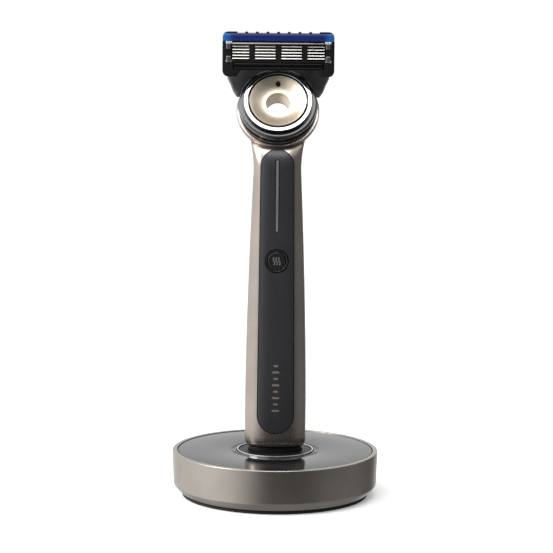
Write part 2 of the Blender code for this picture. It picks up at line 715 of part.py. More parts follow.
def handle_casing(handle):
    shell = piece("handle_shell", handle_body(0, HANDLE_BOTTOM, NECK_TOP), "bronze_metal", handle)
    edge = 0.5
    back = PLATE_FRONT - HEAD_PLATE_THICKNESS
    plate = turned_cutter([
        (PLATE_RADIUS - edge, PLATE_FRONT), (PLATE_RADIUS, PLATE_FRONT - edge), (PLATE_RADIUS, back + edge),
        (PLATE_RADIUS - edge, back), (PLATE_HOLE, back), (PLATE_HOLE, PLATE_FRONT)], HEAD, FINE)
    join(shell, plate)
    cut(shell, cutter(handle_body(HANDLE_WALL, HANDLE_BOTTOM - 1, WAIST_Z + CAVITY_ABOVE_WAIST, 20)))
    cut(shell, cutter(slab(panel_outline(0), -BELLY_DEPTH - 5, WINDOW_BACK, "Y")))
    duct = block((-RIBBON_HALF_WIDTH - 1.2, RIBBON_HALF_WIDTH + 1.2), (-0.9, 1.9),
                 (WAIST_Z + CAVITY_ABOVE_WAIST - 1, NECK_TOP - 1.8))
    cut(shell, cutter(duct))
    for side in (-1, 1):
        bore = turned_cutter(rod(CONTACT_RADIUS + GAP, PLATE_FRONT - 1.9, PLATE_FRONT + 1),
                             HEAD @ Matrix.Translation((side * CONTACT_SPACING, CONTACT_V, 0)), 12)
        cut(shell, bore)

    panel = front_skin("front_panel", panel_outline(GAP), "gloss_black", handle)
    cut(panel, turned_cutter(rod(BEZEL_RADIUS + GAP, -2, 9), BUTTON))
    cut(panel, cutter(slab(light_outline(GAP), -BELLY_DEPTH - 6, WINDOW_BACK + 1, "Y")))
    front_skin("light_bar", light_outline(0), "light", handle)


BUTTON_FACE = handle_size(BUTTON_Z)[1] - PANEL_SINK - 0.05
BUTTON = Matrix.Translation((0, -BUTTON_FACE, BUTTON_Z)) @ TO_FRONT      # its Z points out of the face


def power_button_parts(handle, button):
    turned("button_bezel", [(BEZEL_RADIUS - 0.25, 0), (BEZEL_RADIUS, -0.25), (BEZEL_RADIUS, -1.9),
                            (BUTTON_RADIUS + GAP, -1.9), (BUTTON_RADIUS + GAP, -0.25)], "gloss_black",
                            handle, BUTTON, 24)
    turned("power_button", [(0, 0), (BUTTON_RADIUS - 0.3, 0), (BUTTON_RADIUS, -0.3),
                            (BUTTON_RADIUS, -BUTTON_THICKNESS), (STEM_RADIUS, -BUTTON_THICKNESS),
                            (STEM_RADIUS, STEM_END), (0, STEM_END)], "gloss_black", button, BUTTON, 24)
    seal_front = -BUTTON_THICKNESS - BUTTON_TRAVEL - GAP
    seal_back = CHASSIS_FRONT + BUTTON_FACE
    turned("button_seal", tube(BEZEL_RADIUS - GAP, STEM_RADIUS + GAP, -seal_back + GAP, seal_front),
           "rubber", handle, BUTTON)
    body_front = -(CHASSIS_FRONT + CHASSIS_PLATE + GAP + BUTTON_FACE)
    board_front = -(MAIN_BOARD_FRONT - GAP + BUTTON_FACE)
    turned("tact_switch", [(0, STEM_END - BUTTON_TRAVEL - GAP), (1.0, STEM_END - BUTTON_TRAVEL - GAP),
                           (1.0, body_front), (2.2, body_front), (2.2, board_front), (0, board_front)],
           "satin_black", handle, BUTTON)


def handle_inside(handle):
    low = HANDLE_BOTTOM + CHASSIS_BOTTOM_RISE
    high = WAIST_Z - CHASSIS_TOP_BELOW_WAIST
    chassis = piece("chassis", handle_body(HANDLE_WALL + GAP + 0.2, low - 2, high + 2, 20), "satin_black",
                    handle)
    boolean(chassis, cutter(block((-CHASSIS_HALF_WIDTH, CHASSIS_HALF_WIDTH), (CHASSIS_FRONT, CHASSIS_BACK),
                                  (low, high))), "INTERSECT")
    cut(chassis,
        cutter(block((-CHASSIS_BAY_HALF_WIDTH, CHASSIS_BAY_HALF_WIDTH), (CHASSIS_FRONT + CHASSIS_PLATE, 9),
                              (low + CHASSIS_PLATE, high - CHASSIS_PLATE))))
    cut(chassis, turned_cutter(rod(STEM_RADIUS + 2 * GAP, -9, 1), BUTTON))
    strip_top = high - 2 * CHASSIS_PLATE
    strip_low = LIGHT_TOP - LIGHT_LENGTH + 1
    cut(chassis, cutter(block((-1.3, 1.3), (CHASSIS_FRONT - 1, CHASSIS_FRONT + 3), (strip_low, strip_top))))
    cut(chassis,
        cutter(block((-RIBBON_HALF_WIDTH - GAP, RIBBON_HALF_WIDTH + GAP), (-0.6, 9), (high - 4, high + 4))))

    cell_low = low + CHASSIS_PLATE + GAP
    cell_top = cell_low + CELL_LENGTH
    turned("battery",
           [(0, cell_top + 0.8), (1.6, cell_top + 0.8), (1.6, cell_top), (CELL_RADIUS - 0.4, cell_top),
                       (CELL_RADIUS, cell_top - 0.4), (CELL_RADIUS, cell_low + 0.4),
                       (CELL_RADIUS - 0.4, cell_low),
                       (0, cell_low)], "cell_blue", handle, Matrix.Translation((0, CELL_Y, 0)), 20)
    board_top = high - CHASSIS_PLATE - GAP
    piece("main_board", block((-MAIN_BOARD_HALF_WIDTH, MAIN_BOARD_HALF_WIDTH),
                              (MAIN_BOARD_FRONT, MAIN_BOARD_FRONT + BOARD_THICKNESS),
                              (board_top - MAIN_BOARD_LENGTH, board_top)), "board_green", handle)
    piece("led_strip", block((-1.0, 1.0), (CHASSIS_FRONT + CHASSIS_PLATE - 0.6, MAIN_BOARD_FRONT - GAP),
                             (strip_low + GAP, strip_top - GAP)), "light", handle)

    start = board_top - 3
    path = [(MAIN_BOARD_FRONT + BOARD_THICKNESS + GAP, start), (0.5, start + 3), (0.5, WAIST_Z + 2),
            (0.6, NECK_TOP - 3.6)]
    piece("flex_cable", slab([(y, z) for y, z in path] + [(y + 0.35, z) for y, z in reversed(path)],
                             -RIBBON_HALF_WIDTH, RIBBON_HALF_WIDTH, "X"), "ribbon", handle)
    for side, name in ((-1, "left"), (1, "right")):
        turned("head_contact_pin_" + name,
               [(0, PLATE_FRONT - 0.05), (CONTACT_RADIUS * 0.6, PLATE_FRONT - 0.1),
                (CONTACT_RADIUS, PLATE_FRONT - 0.5),
                (CONTACT_RADIUS, PLATE_FRONT - 1.5), (0, PLATE_FRONT - 1.5)], "brass", handle,
               HEAD @ Matrix.Translation((side * CONTACT_SPACING, CONTACT_V, 0)), 12)


def end_cap_parts(handle):
    """The black foot under the metal, which stands in the dock's socket."""
    low = SOCKET_FLOOR + GAP
    shoulder = HANDLE_BOTTOM - GAP
    seal_low, seal_high = shoulder + 1.6, shoulder + 1.6 + 2 * SEAL_WIRE + 2 * GAP
    plug = HANDLE_WALL + GAP + PLUG_SLACK
    levels = [(low, END_CAP_INSET), (shoulder, END_CAP_INSET), (shoulder, plug + BOTTOM_ROUND),
              (seal_low, plug + BOTTOM_ROUND), (seal_low, plug + 1.6), (seal_high, plug + 1.6),
              (seal_high, plug + BOTTOM_ROUND * 0.5), (shoulder + END_CAP_PLUG, plug + BOTTOM_ROUND * 0.5)]
    width, front, back = handle_size(HANDLE_BOTTOM + BOTTOM_ROUND_RISE)
    cap = piece("end_cap",
                loft([oval(z, width - inset, front - inset, back - inset, 24) for z, inset in levels]),
                "satin_black", handle)
    for side, name in ((-1, "left"), (1, "right")):
        place = Matrix.Translation((side * PIN_SPACING, 0, 0))
        cut(cap, turned_cutter(rod(1.3, low - 1, shoulder + END_CAP_PLUG + 1), place, 16))
        turned("charge_pad_" + name, rod(1.0, low + 0.1, low + 4.4), "brass", handle, place, 16)
    seal = oval((seal_low + seal_high) / 2,
                *[size - plug - 1.6 + SEAL_WIRE + GAP for size in (width, front, back)], 20)
    wire("end_cap_seal", seal, SEAL_WIRE, "rubber", handle, closed=True)


# --- Turning disc in the head --------------------------------------------------------------------

def disc_parts(disc):
    ring_back = RING_PROUD - RING_THICKNESS
    seat = ring_back - GAP                           # floor under the chrome ring
    dish_low = DISH_RIM - DISH_SINK
    tongue_high = TONGUE_MID + TONGUE_THICKNESS / 2 + GAP
    tongue_low = TONGUE_MID - TONGUE_THICKNESS / 2 - GAP
    groove = DISC_RADIUS - TONGUE_DEPTH
    body = turned("pivot_ring", [
        (DISC_RADIUS - DISC_ROUND, DISC_FRONT),
        (DISC_RADIUS - 0.3 * DISC_ROUND, DISC_FRONT - 0.3 * DISC_ROUND),
        (DISC_RADIUS, DISC_FRONT - DISC_ROUND), (DISC_RADIUS, tongue_high), (groove, tongue_high),
        (groove, tongue_low), (DISC_RADIUS, tongue_low), (DISC_RADIUS, DISC_BACK),
        (SPRING_RADIUS + 1.0, DISC_BACK), (SPRING_RADIUS + 1.0, SPRING_FLOOR),
        (SPRING_RADIUS - 1.0, SPRING_FLOOR),
        (SPRING_RADIUS - 1.0, DISC_BACK), (HUB_RADIUS + GAP, DISC_BACK),
        (HUB_RADIUS + GAP, dish_low - DISH_THICKNESS - GAP), (DISH_RADIUS + 0.1, seat),
        (RING_OUTER + GAP, seat),
        (RING_OUTER + GAP, DISC_FRONT)], "gloss_black", disc, HEAD, FINE)
    turned("chrome_ring", [
        (RING_OUTER - 0.35, RING_PROUD), (RING_OUTER, RING_PROUD - 0.35), (RING_OUTER, ring_back),
        (RING_INNER, ring_back), (RING_INNER, RING_PROUD - 0.35), (RING_INNER + 0.35, RING_PROUD)],
        "chrome", disc, HEAD, FINE)
    turned("gold_dish", dish_profile(dish_low), "gold", disc, HEAD, FINE)
    dimple = turned_cutter(rod(DIMPLE_RADIUS, -3, 3), HEAD @ Matrix.Translation((0, DIMPLE_OUT, 0)), 20)
    dimple_floor = cutter(block((-3, 3), (DIMPLE_OUT - 3, DIMPLE_OUT + 3),
                                (-9, dish_height(DIMPLE_OUT) - 0.5)), HEAD)
    cut(dimple, dimple_floor)
    cut(bpy.data.objects["gold_dish"], dimple)

    hub_front = dish_low - DISH_THICKNESS - GAP
    cap_front = PLATE_FRONT - HEAD_PLATE_THICKNESS - GAP
    turned("hub_tube",
           [(HUB_RADIUS, hub_front), (HUB_RADIUS, cap_front + 0.1), (HOLE_RADIUS, cap_front + 0.1),
                        (HOLE_RADIUS, hub_front)], "steel", disc, HEAD, 24)
    turned("rear_cap",
           [(HUB_RADIUS + 0.2, cap_front - GAP + 0.1), (REAR_CAP_RADIUS - 0.4, cap_front - GAP + 0.1),
                        (REAR_CAP_RADIUS, cap_front - 0.6),
                        (REAR_CAP_RADIUS - 0.5, cap_front - REAR_CAP_THICKNESS),
                        (HOLE_RADIUS + HUB_FLARE + 0.5, cap_front - REAR_CAP_THICKNESS),
                        (HOLE_RADIUS, cap_front - GAP + 0.1)], "gloss_black", disc, HEAD, 24)
    turns, pitch = 1.75, 0.5
    coil = []
    for i in range(25):
        angle = 2 * math.pi * turns * i / 24
        height = (SPRING_FLOOR + DISC_BACK) / 2 + pitch * (i / 24 - 0.5)
        coil.append((SPRING_RADIUS * math.cos(angle), SPRING_RADIUS * math.sin(angle), height))
    wire("centering_spring", coil, 0.15, "steel", disc, HEAD)
    for side, name in ((-1, "left"), (1, "right")):
        outward = HEAD @ Matrix.Translation((side * MAGNET_SPACING, 0,
                                             TONGUE_MID)) @ Matrix.Rotation(math.radians(-90), 4, "X")
        end = math.sqrt(groove ** 2 - (MAGNET_SPACING + MAGNET_RADIUS) ** 2) - 0.1
        cut(body,
            turned_cutter(rod(MAGNET_RADIUS + GAP, end - MAGNET_LENGTH - GAP, DISC_RADIUS + 2), outward, 16))
        turned("holding_magnet_" + name, rod(MAGNET_RADIUS, end - MAGNET_LENGTH, end), "steel", disc,
               outward, 16)


def dish_height(radius):
    """How deep the dish's front face lies at a radius: a shallow bowl down to the hole."""
    inward = (DISH_RADIUS - radius) / (DISH_RADIUS - HOLE_RADIUS)
    return DISH_RIM - DISH_SINK * math.sin(math.radians(90 * inward)) ** 1.2


def dish_profile(low):
    steps = 5
    radii = [HOLE_RADIUS + (DISH_RADIUS - 0.2 - HOLE_RADIUS) * i / steps for i in range(steps + 1)]
    front = [(radius, dish_height(radius)) for radius in radii]
    back = [(DISH_RADIUS, DISH_RIM - 0.3), (DISH_RADIUS, DISH_RIM - DISH_THICKNESS),
            (HOLE_RADIUS + 1.2, low - DISH_THICKNESS), (HOLE_RADIUS, low - DISH_THICKNESS)]
    return front + back


# --- Yoke ----------------------------------------------------------------------------------------

def yoke_parts(yoke, plunger):
    inner = DISC_RADIUS + GAP
    rise = math.degrees(math.asin(YOKE_TIP[1] / inner))
    right = [YOKE_TIP, YOKE_WAIST, YOKE_HIP, YOKE_SHOULDER, (YOKE_SHOULDER[0], YOKE_TOP - 2.0),
             (YOKE_SHOULDER[0] - 2.0, YOKE_TOP)]
    left = [(-x, v) for x, v in reversed(right)]
    collar = slab(right + left + arc((0, 0), inner, 180 - rise, rise, 20), YOKE_BACK, YOKE_FRONT, "Z")
    body = piece("yoke", collar, "yoke_grey", yoke, HEAD)
    tongue_in = inner - TONGUE_DEPTH
    tongue = slab(arc((0, 0), tongue_in, rise, 180 - rise, 20) + arc((0, 0), inner + 0.4, 180 - rise, rise,
                                                                     20),
                  TONGUE_MID - TONGUE_THICKNESS / 2, TONGUE_MID + TONGUE_THICKNESS / 2, "Z")
    join(body, cutter(tongue, HEAD))
    pivot = HEAD.inverted() @ PIVOT.translation
    reach = math.degrees(math.atan2(pivot.z - YOKE_FRONT, pivot.y - (YOKE_TOP - 2.0)))
    for side in (-1, 1):
        low, high = sorted((side * ARM_IN, side * ARM_OUT))
        foot = [(YOKE_TOP - 4.2, YOKE_BACK + 0.5), (YOKE_TOP - 0.4, YOKE_BACK + 0.5)]
        knuckle = arc((pivot.y, pivot.z), BOSS_RADIUS, reach - 75, reach + 75, 6)
        join(body, cutter(slab(foot + knuckle, low, high, "X"), HEAD))
    z = PIVOT_Z + PLUNGER_RISE
    back = PLUNGER_HOUSING_FRONT + PLUNGER_HOUSING_LENGTH
    join(body, cutter(block((-PLUNGER_HOUSING_HALF_WIDTH, PLUNGER_HOUSING_HALF_WIDTH),
                            (PLUNGER_HOUSING_FRONT, back),
                            (PIVOT_Z - 4.6, z + PLUNGER_RADIUS + GAP + 0.6))))
    cut(body, turned_cutter(rod(PIVOT_RADIUS + GAP, -ARM_OUT - 2, ARM_OUT + 2), PIVOT @ TO_RIGHT, 16))
    bore = Matrix.Translation((0, PLUNGER_HOUSING_FRONT, z)) @ TO_FRONT
    cut(body, turned_cutter(rod(PLUNGER_RADIUS + GAP, -PLUNGER_HOUSING_LENGTH + 0.6, 2), bore, 16))

    tip = CARTRIDGE_BACK + GAP
    place = Matrix.Translation((0, tip, z)) @ TO_FRONT
    dome = [(PLUNGER_RADIUS * math.sin(math.radians(a)), PLUNGER_RADIUS * (math.cos(math.radians(a)) - 1))
            for a in range(0, 91, 18)]
    turned("pivot_plunger", dome + [(PLUNGER_RADIUS, -PLUNGER_TAIL), (0, -PLUNGER_TAIL)], "satin_black",
           plunger, place, 16)
    spring_front = tip + PLUNGER_TAIL + GAP
    spring_back = back - 0.6 - GAP
    turns = 3
    coil = []
    for i in range(turns * 7 + 1):
        angle = 2 * math.pi * i / 7
        y = spring_front + 0.15 + (spring_back - spring_front - 0.3) * i / (turns * 7)
        coil.append((0.6 * math.cos(angle), y, z + 0.6 * math.sin(angle)))
    wire("plunger_spring", coil, 0.12, "steel", yoke)
    for side, name in ((-1, "left"), (1, "right")):
        turned("pivot_pin_" + name, rod(PIVOT_RADIUS, *sorted((side * (ARM_IN - GAP - LUG_THICKNESS + 0.2),
                                                              side * (ARM_OUT + GAP + LUG_THICKNESS - 0.2)))),
               "steel", yoke, PIVOT @ TO_RIGHT, 16)


# --- Cartridge -----------------------------------------------------------------------------------

def housing_outline():
    """The cartridge seen from the front, with an ear that drops at each lower corner."""
    half = CARTRIDGE_HALF_WIDTH
    ear_bottom = CARTRIDGE_BOTTOM - EAR_DROP
    right = arc((half - 2.6, ear_bottom + 2.6), 2.6, -90, 0, 4)
    right += arc((half - CORNER_RADIUS, CARTRIDGE_TOP - CORNER_RADIUS), CORNER_RADIUS, 0, 90, 4)
    inner_ear = half - 2.6 - EAR_HALF_WIDTH
    start = [(inner_ear - 1.6, CARTRIDGE_BOTTOM), (inner_ear, ear_bottom + 0.5)]
    points = start + right
    return points + [(-x, z) for x, z in reversed(points)]


def cartridge_box(xs, ys, zs):
    """A block whose heights count from the cartridge's pivot."""
    return block(xs, ys, [PIVOT_Z + z for z in zs])


def cartridge_housing(cartridge):
    outline = [(x, PIVOT_Z + z) for x, z in housing_outline()]
    housing = piece("cartridge_housing", slab(outline, CARTRIDGE_FRONT, CARTRIDGE_BACK, "Y"), "satin_black",
                    cartridge)
    front = CARTRIDGE_FRONT
    wide = CARTRIDGE_HALF_WIDTH + 5
    edges = [-WINDOW_HALF_WIDTH] + [side * STRUT_SPACING + edge for side in (-1, 0, 1)
                                    for edge in (-STRUT_WIDTH / 2, STRUT_WIDTH / 2)] + [WINDOW_HALF_WIDTH]
    for left, right in zip(edges[::2], edges[1::2]):
        cut(housing, cutter(cartridge_box((left, right), (front - 2, front + STRUT_DEPTH + 1),
                                          (WINDOW_BOTTOM, WINDOW_TOP))))
    cut(housing, cutter(cartridge_box((-WINDOW_HALF_WIDTH, WINDOW_HALF_WIDTH),
                                      (front + STRUT_DEPTH, CARTRIDGE_BACK - 1.3),
                                      (WINDOW_BOTTOM, WINDOW_TOP))))
    cut(housing, cutter(cartridge_box((-wide, wide), (front - 2, STRIP_BACK + GAP),
                                      (STRIP_BOTTOM - GAP, CARTRIDGE_TOP + 3))))
    cut(housing, cutter(cartridge_box((-GUARD_HALF_WIDTH - GAP, GUARD_HALF_WIDTH + GAP),
                                      (front - 2, front + GUARD_DEPTH),
                                      (CARTRIDGE_BOTTOM + GAP, GUARD_TOP))))
    cut(housing,
        cutter(cartridge_box((-HEATER_HALF_WIDTH - GAP, HEATER_HALF_WIDTH + GAP), (front, HEATER_BACK + GAP),
                                      (GUARD_TOP - BAR_HEIGHT, GUARD_TOP - GAP))))
    for side in (-1, 1):
        xs = sorted((side * (CLIP_MID - CLIP_WIDTH / 2 - GAP), side * (CLIP_MID + CLIP_WIDTH / 2 + GAP)))
        for z in (CLIP_TOP - CLIP_SHEET, CLIP_BOTTOM):
            cut(housing,
                cutter(cartridge_box(xs, (front - 2, CARTRIDGE_BACK + 2), (z - GAP, z + CLIP_SHEET + GAP))))
        for inner in (ARM_IN - GAP - LUG_THICKNESS, ARM_OUT + GAP):
            low, high = sorted((side * inner, side * (inner + LUG_THICKNESS)))
            lug = [(CARTRIDGE_BACK - 0.6, PIVOT_Z - BOSS_RADIUS)] + [
                (PIVOT_Y + y, PIVOT_Z + z) for y, z in arc((0, 0), BOSS_RADIUS, -90, 90, 6)]
            lug.append((CARTRIDGE_BACK - 0.6, PIVOT_Z + BOSS_RADIUS))
            join(housing, cutter(slab(lug, low, high, "X")))
        xs = sorted((side * (ARM_IN - GAP), side * (ARM_OUT + GAP)))
        reach = BOSS_RADIUS + GAP
        cut(housing, cutter(cartridge_box(xs, (PIVOT_Y - reach, CARTRIDGE_BACK + 2), (-reach, reach))))
    cut(housing, turned_cutter(rod(PIVOT_RADIUS + GAP, -ARM_OUT - 3, ARM_OUT + 3), PIVOT @ TO_RIGHT, 12))
    for i in range(COMB_SLOTS):
        x = (i - (COMB_SLOTS - 1) / 2) * COMB_PITCH
        cut(housing, cutter(cartridge_box((x - COMB_SLOT_WIDTH / 2, x + COMB_SLOT_WIDTH / 2),
                                          (STRIP_BACK - 1, CARTRIDGE_BACK + 2),
                                          (CARTRIDGE_TOP - COMB_SLOT_DEPTH, CARTRIDGE_TOP + 2))))
    cut(housing, cutter(cartridge_box((-WINDOW_HALF_WIDTH - GAP, WINDOW_HALF_WIDTH + GAP),
                                      (TRIMMER_Y - GAP, TRIMMER_Y + TRIMMER_THICKNESS + GAP),
                                      (TRIMMER_LOW - GAP, CARTRIDGE_TOP + 2))))


def blade_outline():
    """A blade on its bent support, from the side: edge down and forward, leg straight back."""
    y, thick = BLADE_EDGE_Y, BLADE_THICKNESS
    top = BLADE_STRIP_RISE
    leg = y + BLADE_SLANT
    return [(y, 0.0), (y + 0.1, -0.02), (leg + thick, top - thick), (leg + BLADE_LEG, top - thick),
            (leg + BLADE_LEG, top), (leg, top)]


def cartridge_contents(cartridge):
    for i in range(BLADES):
        rise = PIVOT_Z + BLADE_FIRST + i * BLADE_PITCH
        outline = [(y, rise + z) for y, z in blade_outline()]
        blade = piece("blade_" + str(i + 1), slab(outline, -BLADE_HALF_LENGTH, BLADE_HALF_LENGTH, "X"),
                      "steel", cartridge)
        for side in (-1, 0, 1):
            half = STRUT_WIDTH / 2 + GAP
            cut(blade, cutter(block((side * STRUT_SPACING - half, side * STRUT_SPACING + half),
                                    (BLADE_EDGE_Y - 1, CARTRIDGE_FRONT + STRUT_DEPTH + GAP),
                                    (rise - 1, rise + 2))))
    piece("trimmer_blade",
          cartridge_box((-WINDOW_HALF_WIDTH, WINDOW_HALF_WIDTH), (TRIMMER_Y, TRIMMER_Y + TRIMMER_THICKNESS),
                                         (TRIMMER_LOW, CARTRIDGE_TOP - 0.35)), "steel", cartridge)
    strip = piece("lubrication_strip",
                  cartridge_box((-STRIP_HALF_WIDTH, STRIP_HALF_WIDTH), (STRIP_FRONT, STRIP_BACK),
                                                     (STRIP_BOTTOM, STRIP_TOP)), "strip_blue", cartridge)
    soften(strip, 0.8, 3)
    piece("cap_rail",
          cartridge_box((-BLADE_HALF_LENGTH, BLADE_HALF_LENGTH), (RAIL_FRONT, CARTRIDGE_FRONT - GAP),
                                    (RAIL_BOTTOM, RAIL_BOTTOM + RAIL_HEIGHT)), "steel", cartridge)
    bar_low = GUARD_TOP - GAP - BAR_HEIGHT
    bar = piece("warming_bar", cartridge_box((-GUARD_HALF_WIDTH + GAP, GUARD_HALF_WIDTH - GAP),
                                             (BLADE_EDGE_Y - 0.2, CARTRIDGE_FRONT + GUARD_DEPTH - GAP),
                                             (bar_low, GUARD_TOP - GAP)), "chrome", cartridge)
    soften(bar, 0.35, 3)
    piece("heater", cartridge_box((-HEATER_HALF_WIDTH, HEATER_HALF_WIDTH),
                                  (CARTRIDGE_FRONT + GUARD_DEPTH, HEATER_BACK),
                                  (bar_low + GAP, GUARD_TOP - 2 * GAP)), "ribbon", cartridge)
    fins = piece("guard_fins", cartridge_box((-GUARD_HALF_WIDTH + GAP, GUARD_HALF_WIDTH - GAP),
                                             (BLADE_EDGE_Y, CARTRIDGE_FRONT + GUARD_DEPTH - GAP),
                                             (CARTRIDGE_BOTTOM + 2 * GAP,
                                              CARTRIDGE_BOTTOM + 2 * GAP + FIN_HEIGHT)),
                 "rubber", cartridge)
    soften(fins, 0.2, 1)
    for side, name in ((-1, "left"), (1, "right")):
        front, back, sheet = CARTRIDGE_FRONT - GAP, CARTRIDGE_BACK + GAP, CLIP_SHEET
        top, bottom = CLIP_TOP, CLIP_BOTTOM
        outline = [(front - sheet, top), (front - sheet, top - CLIP_PAD), (front, top - CLIP_PAD),
                   (front, top - sheet),
                   (back, top - sheet), (back, bottom + sheet), (front, bottom + sheet),
                   (front, bottom + CLIP_PAD),
                   (front - sheet, bottom + CLIP_PAD), (front - sheet, bottom), (back + sheet, bottom),
                   (back + sheet, top)]
        low, high = sorted((side * (CLIP_MID - CLIP_WIDTH / 2), side * (CLIP_MID + CLIP_WIDTH / 2)))
        piece("clip_" + name, slab([(y, PIVOT_Z + z) for y, z in outline], low, high, "X"), "chrome",
              cartridge)


# --- The whole razor -----------------------------------------------------------------------------

def build():
    dock = new_pivot("dock_centre", WORLD)
    handle = new_pivot("handle_lift", WORLD)
    button = new_pivot("button_slide", BUTTON)
    disc = new_pivot("disc_axis", HEAD)
    yoke = new_pivot("yoke_slide", HEAD)
    plunger = new_pivot("plunger_slide",
                        Matrix.Translation((0, CARTRIDGE_BACK + GAP, PIVOT_Z + PLUNGER_RISE)))
    cartridge = new_pivot("cartridge_pivot", PIVOT)
    dock_casing(dock)
    dock_cradle(dock)
    dock_inside(dock)
    handle_casing(handle)
    power_button_parts(handle, button)
    handle_inside(handle)
    end_cap_parts(handle)
    disc_parts(disc)
    yoke_parts(yoke, plunger)
    cartridge_housing(cartridge)
    cartridge_contents(cartridge)


clear_scene()
RAZOR = new_collection("heated_razor")
CUTTERS = new_collection("cutters")
build()
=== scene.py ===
"""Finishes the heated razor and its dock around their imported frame."""

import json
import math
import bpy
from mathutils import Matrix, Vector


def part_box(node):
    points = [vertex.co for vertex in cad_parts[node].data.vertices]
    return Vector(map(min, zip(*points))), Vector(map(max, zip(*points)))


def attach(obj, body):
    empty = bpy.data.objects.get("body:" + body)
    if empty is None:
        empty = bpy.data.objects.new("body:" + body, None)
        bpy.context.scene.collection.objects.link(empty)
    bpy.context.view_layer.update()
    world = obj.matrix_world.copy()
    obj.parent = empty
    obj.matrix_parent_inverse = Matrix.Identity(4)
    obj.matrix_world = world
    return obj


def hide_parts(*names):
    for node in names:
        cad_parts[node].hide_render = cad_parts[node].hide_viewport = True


bl_info = {
    "name": "Heated Razor on Its Dock",
    "version": (1, 0, 0),
    "blender": (4, 5, 0),
    "location": "3D View > Sidebar > Razor",
    "description": "Models and finishes every visible piece of a heated razor on its charging dock",
    "category": "Object",
}

from types import SimpleNamespace

import bmesh
import bpy
from bpy.props import FloatProperty, FloatVectorProperty, IntProperty, PointerProperty
from mathutils import Matrix, Vector

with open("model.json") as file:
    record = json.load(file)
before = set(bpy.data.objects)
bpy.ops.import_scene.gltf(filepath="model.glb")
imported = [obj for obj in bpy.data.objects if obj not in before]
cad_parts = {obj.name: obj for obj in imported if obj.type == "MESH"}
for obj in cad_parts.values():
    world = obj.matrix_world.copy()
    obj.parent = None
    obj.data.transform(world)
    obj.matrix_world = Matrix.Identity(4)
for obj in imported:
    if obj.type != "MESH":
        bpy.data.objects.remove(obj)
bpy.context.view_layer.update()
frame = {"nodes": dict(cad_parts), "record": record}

MM = 0.001
JOINTS = {joint["name"]: joint for joint in frame["record"]["behaviour"]["joints"]}
TO_FRONT = Matrix.Rotation(math.radians(90), 4, "X")      # turns +Z to -Y
ACROSS_X = Matrix(((0, 0, 1, 0), (1, 0, 0, 0), (0, 1, 0, 0), (0, 0, 0, 1)))
WORLD = Matrix.Identity(4)


def span(node):
    """A node's lowest and highest corner, in millimetres."""
    low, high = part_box(node)
    return low / MM, high / MM


def joint_frame(name):
    """A frame on a joint's axis, in millimetres, with its Z along the axis and its X along +X."""
    joint = JOINTS[name]
    axis = Vector(joint["axis"])
    turn = Matrix.Rotation(math.atan2(-axis.y, axis.z), 4, "X")
    return Matrix.Translation(Vector(joint["pos_m"]) / MM) @ turn


HEAD = joint_frame("disc_turn")
PIVOT = Vector(JOINTS["cartridge_tilt"]["pos_m"]) / MM


# --- Sizes, colours and stage --------------------------------------------------------------------

def length(name, description, millimetres):
    return FloatProperty(name=name, description=description, default=millimetres * MM, unit="LENGTH",
                         precision=5)


def colour(name, description, red, green, blue):
    return FloatVectorProperty(name=name, description=description, subtype="COLOR", size=3, min=0.0, max=1.0,
                               default=(red, green, blue))


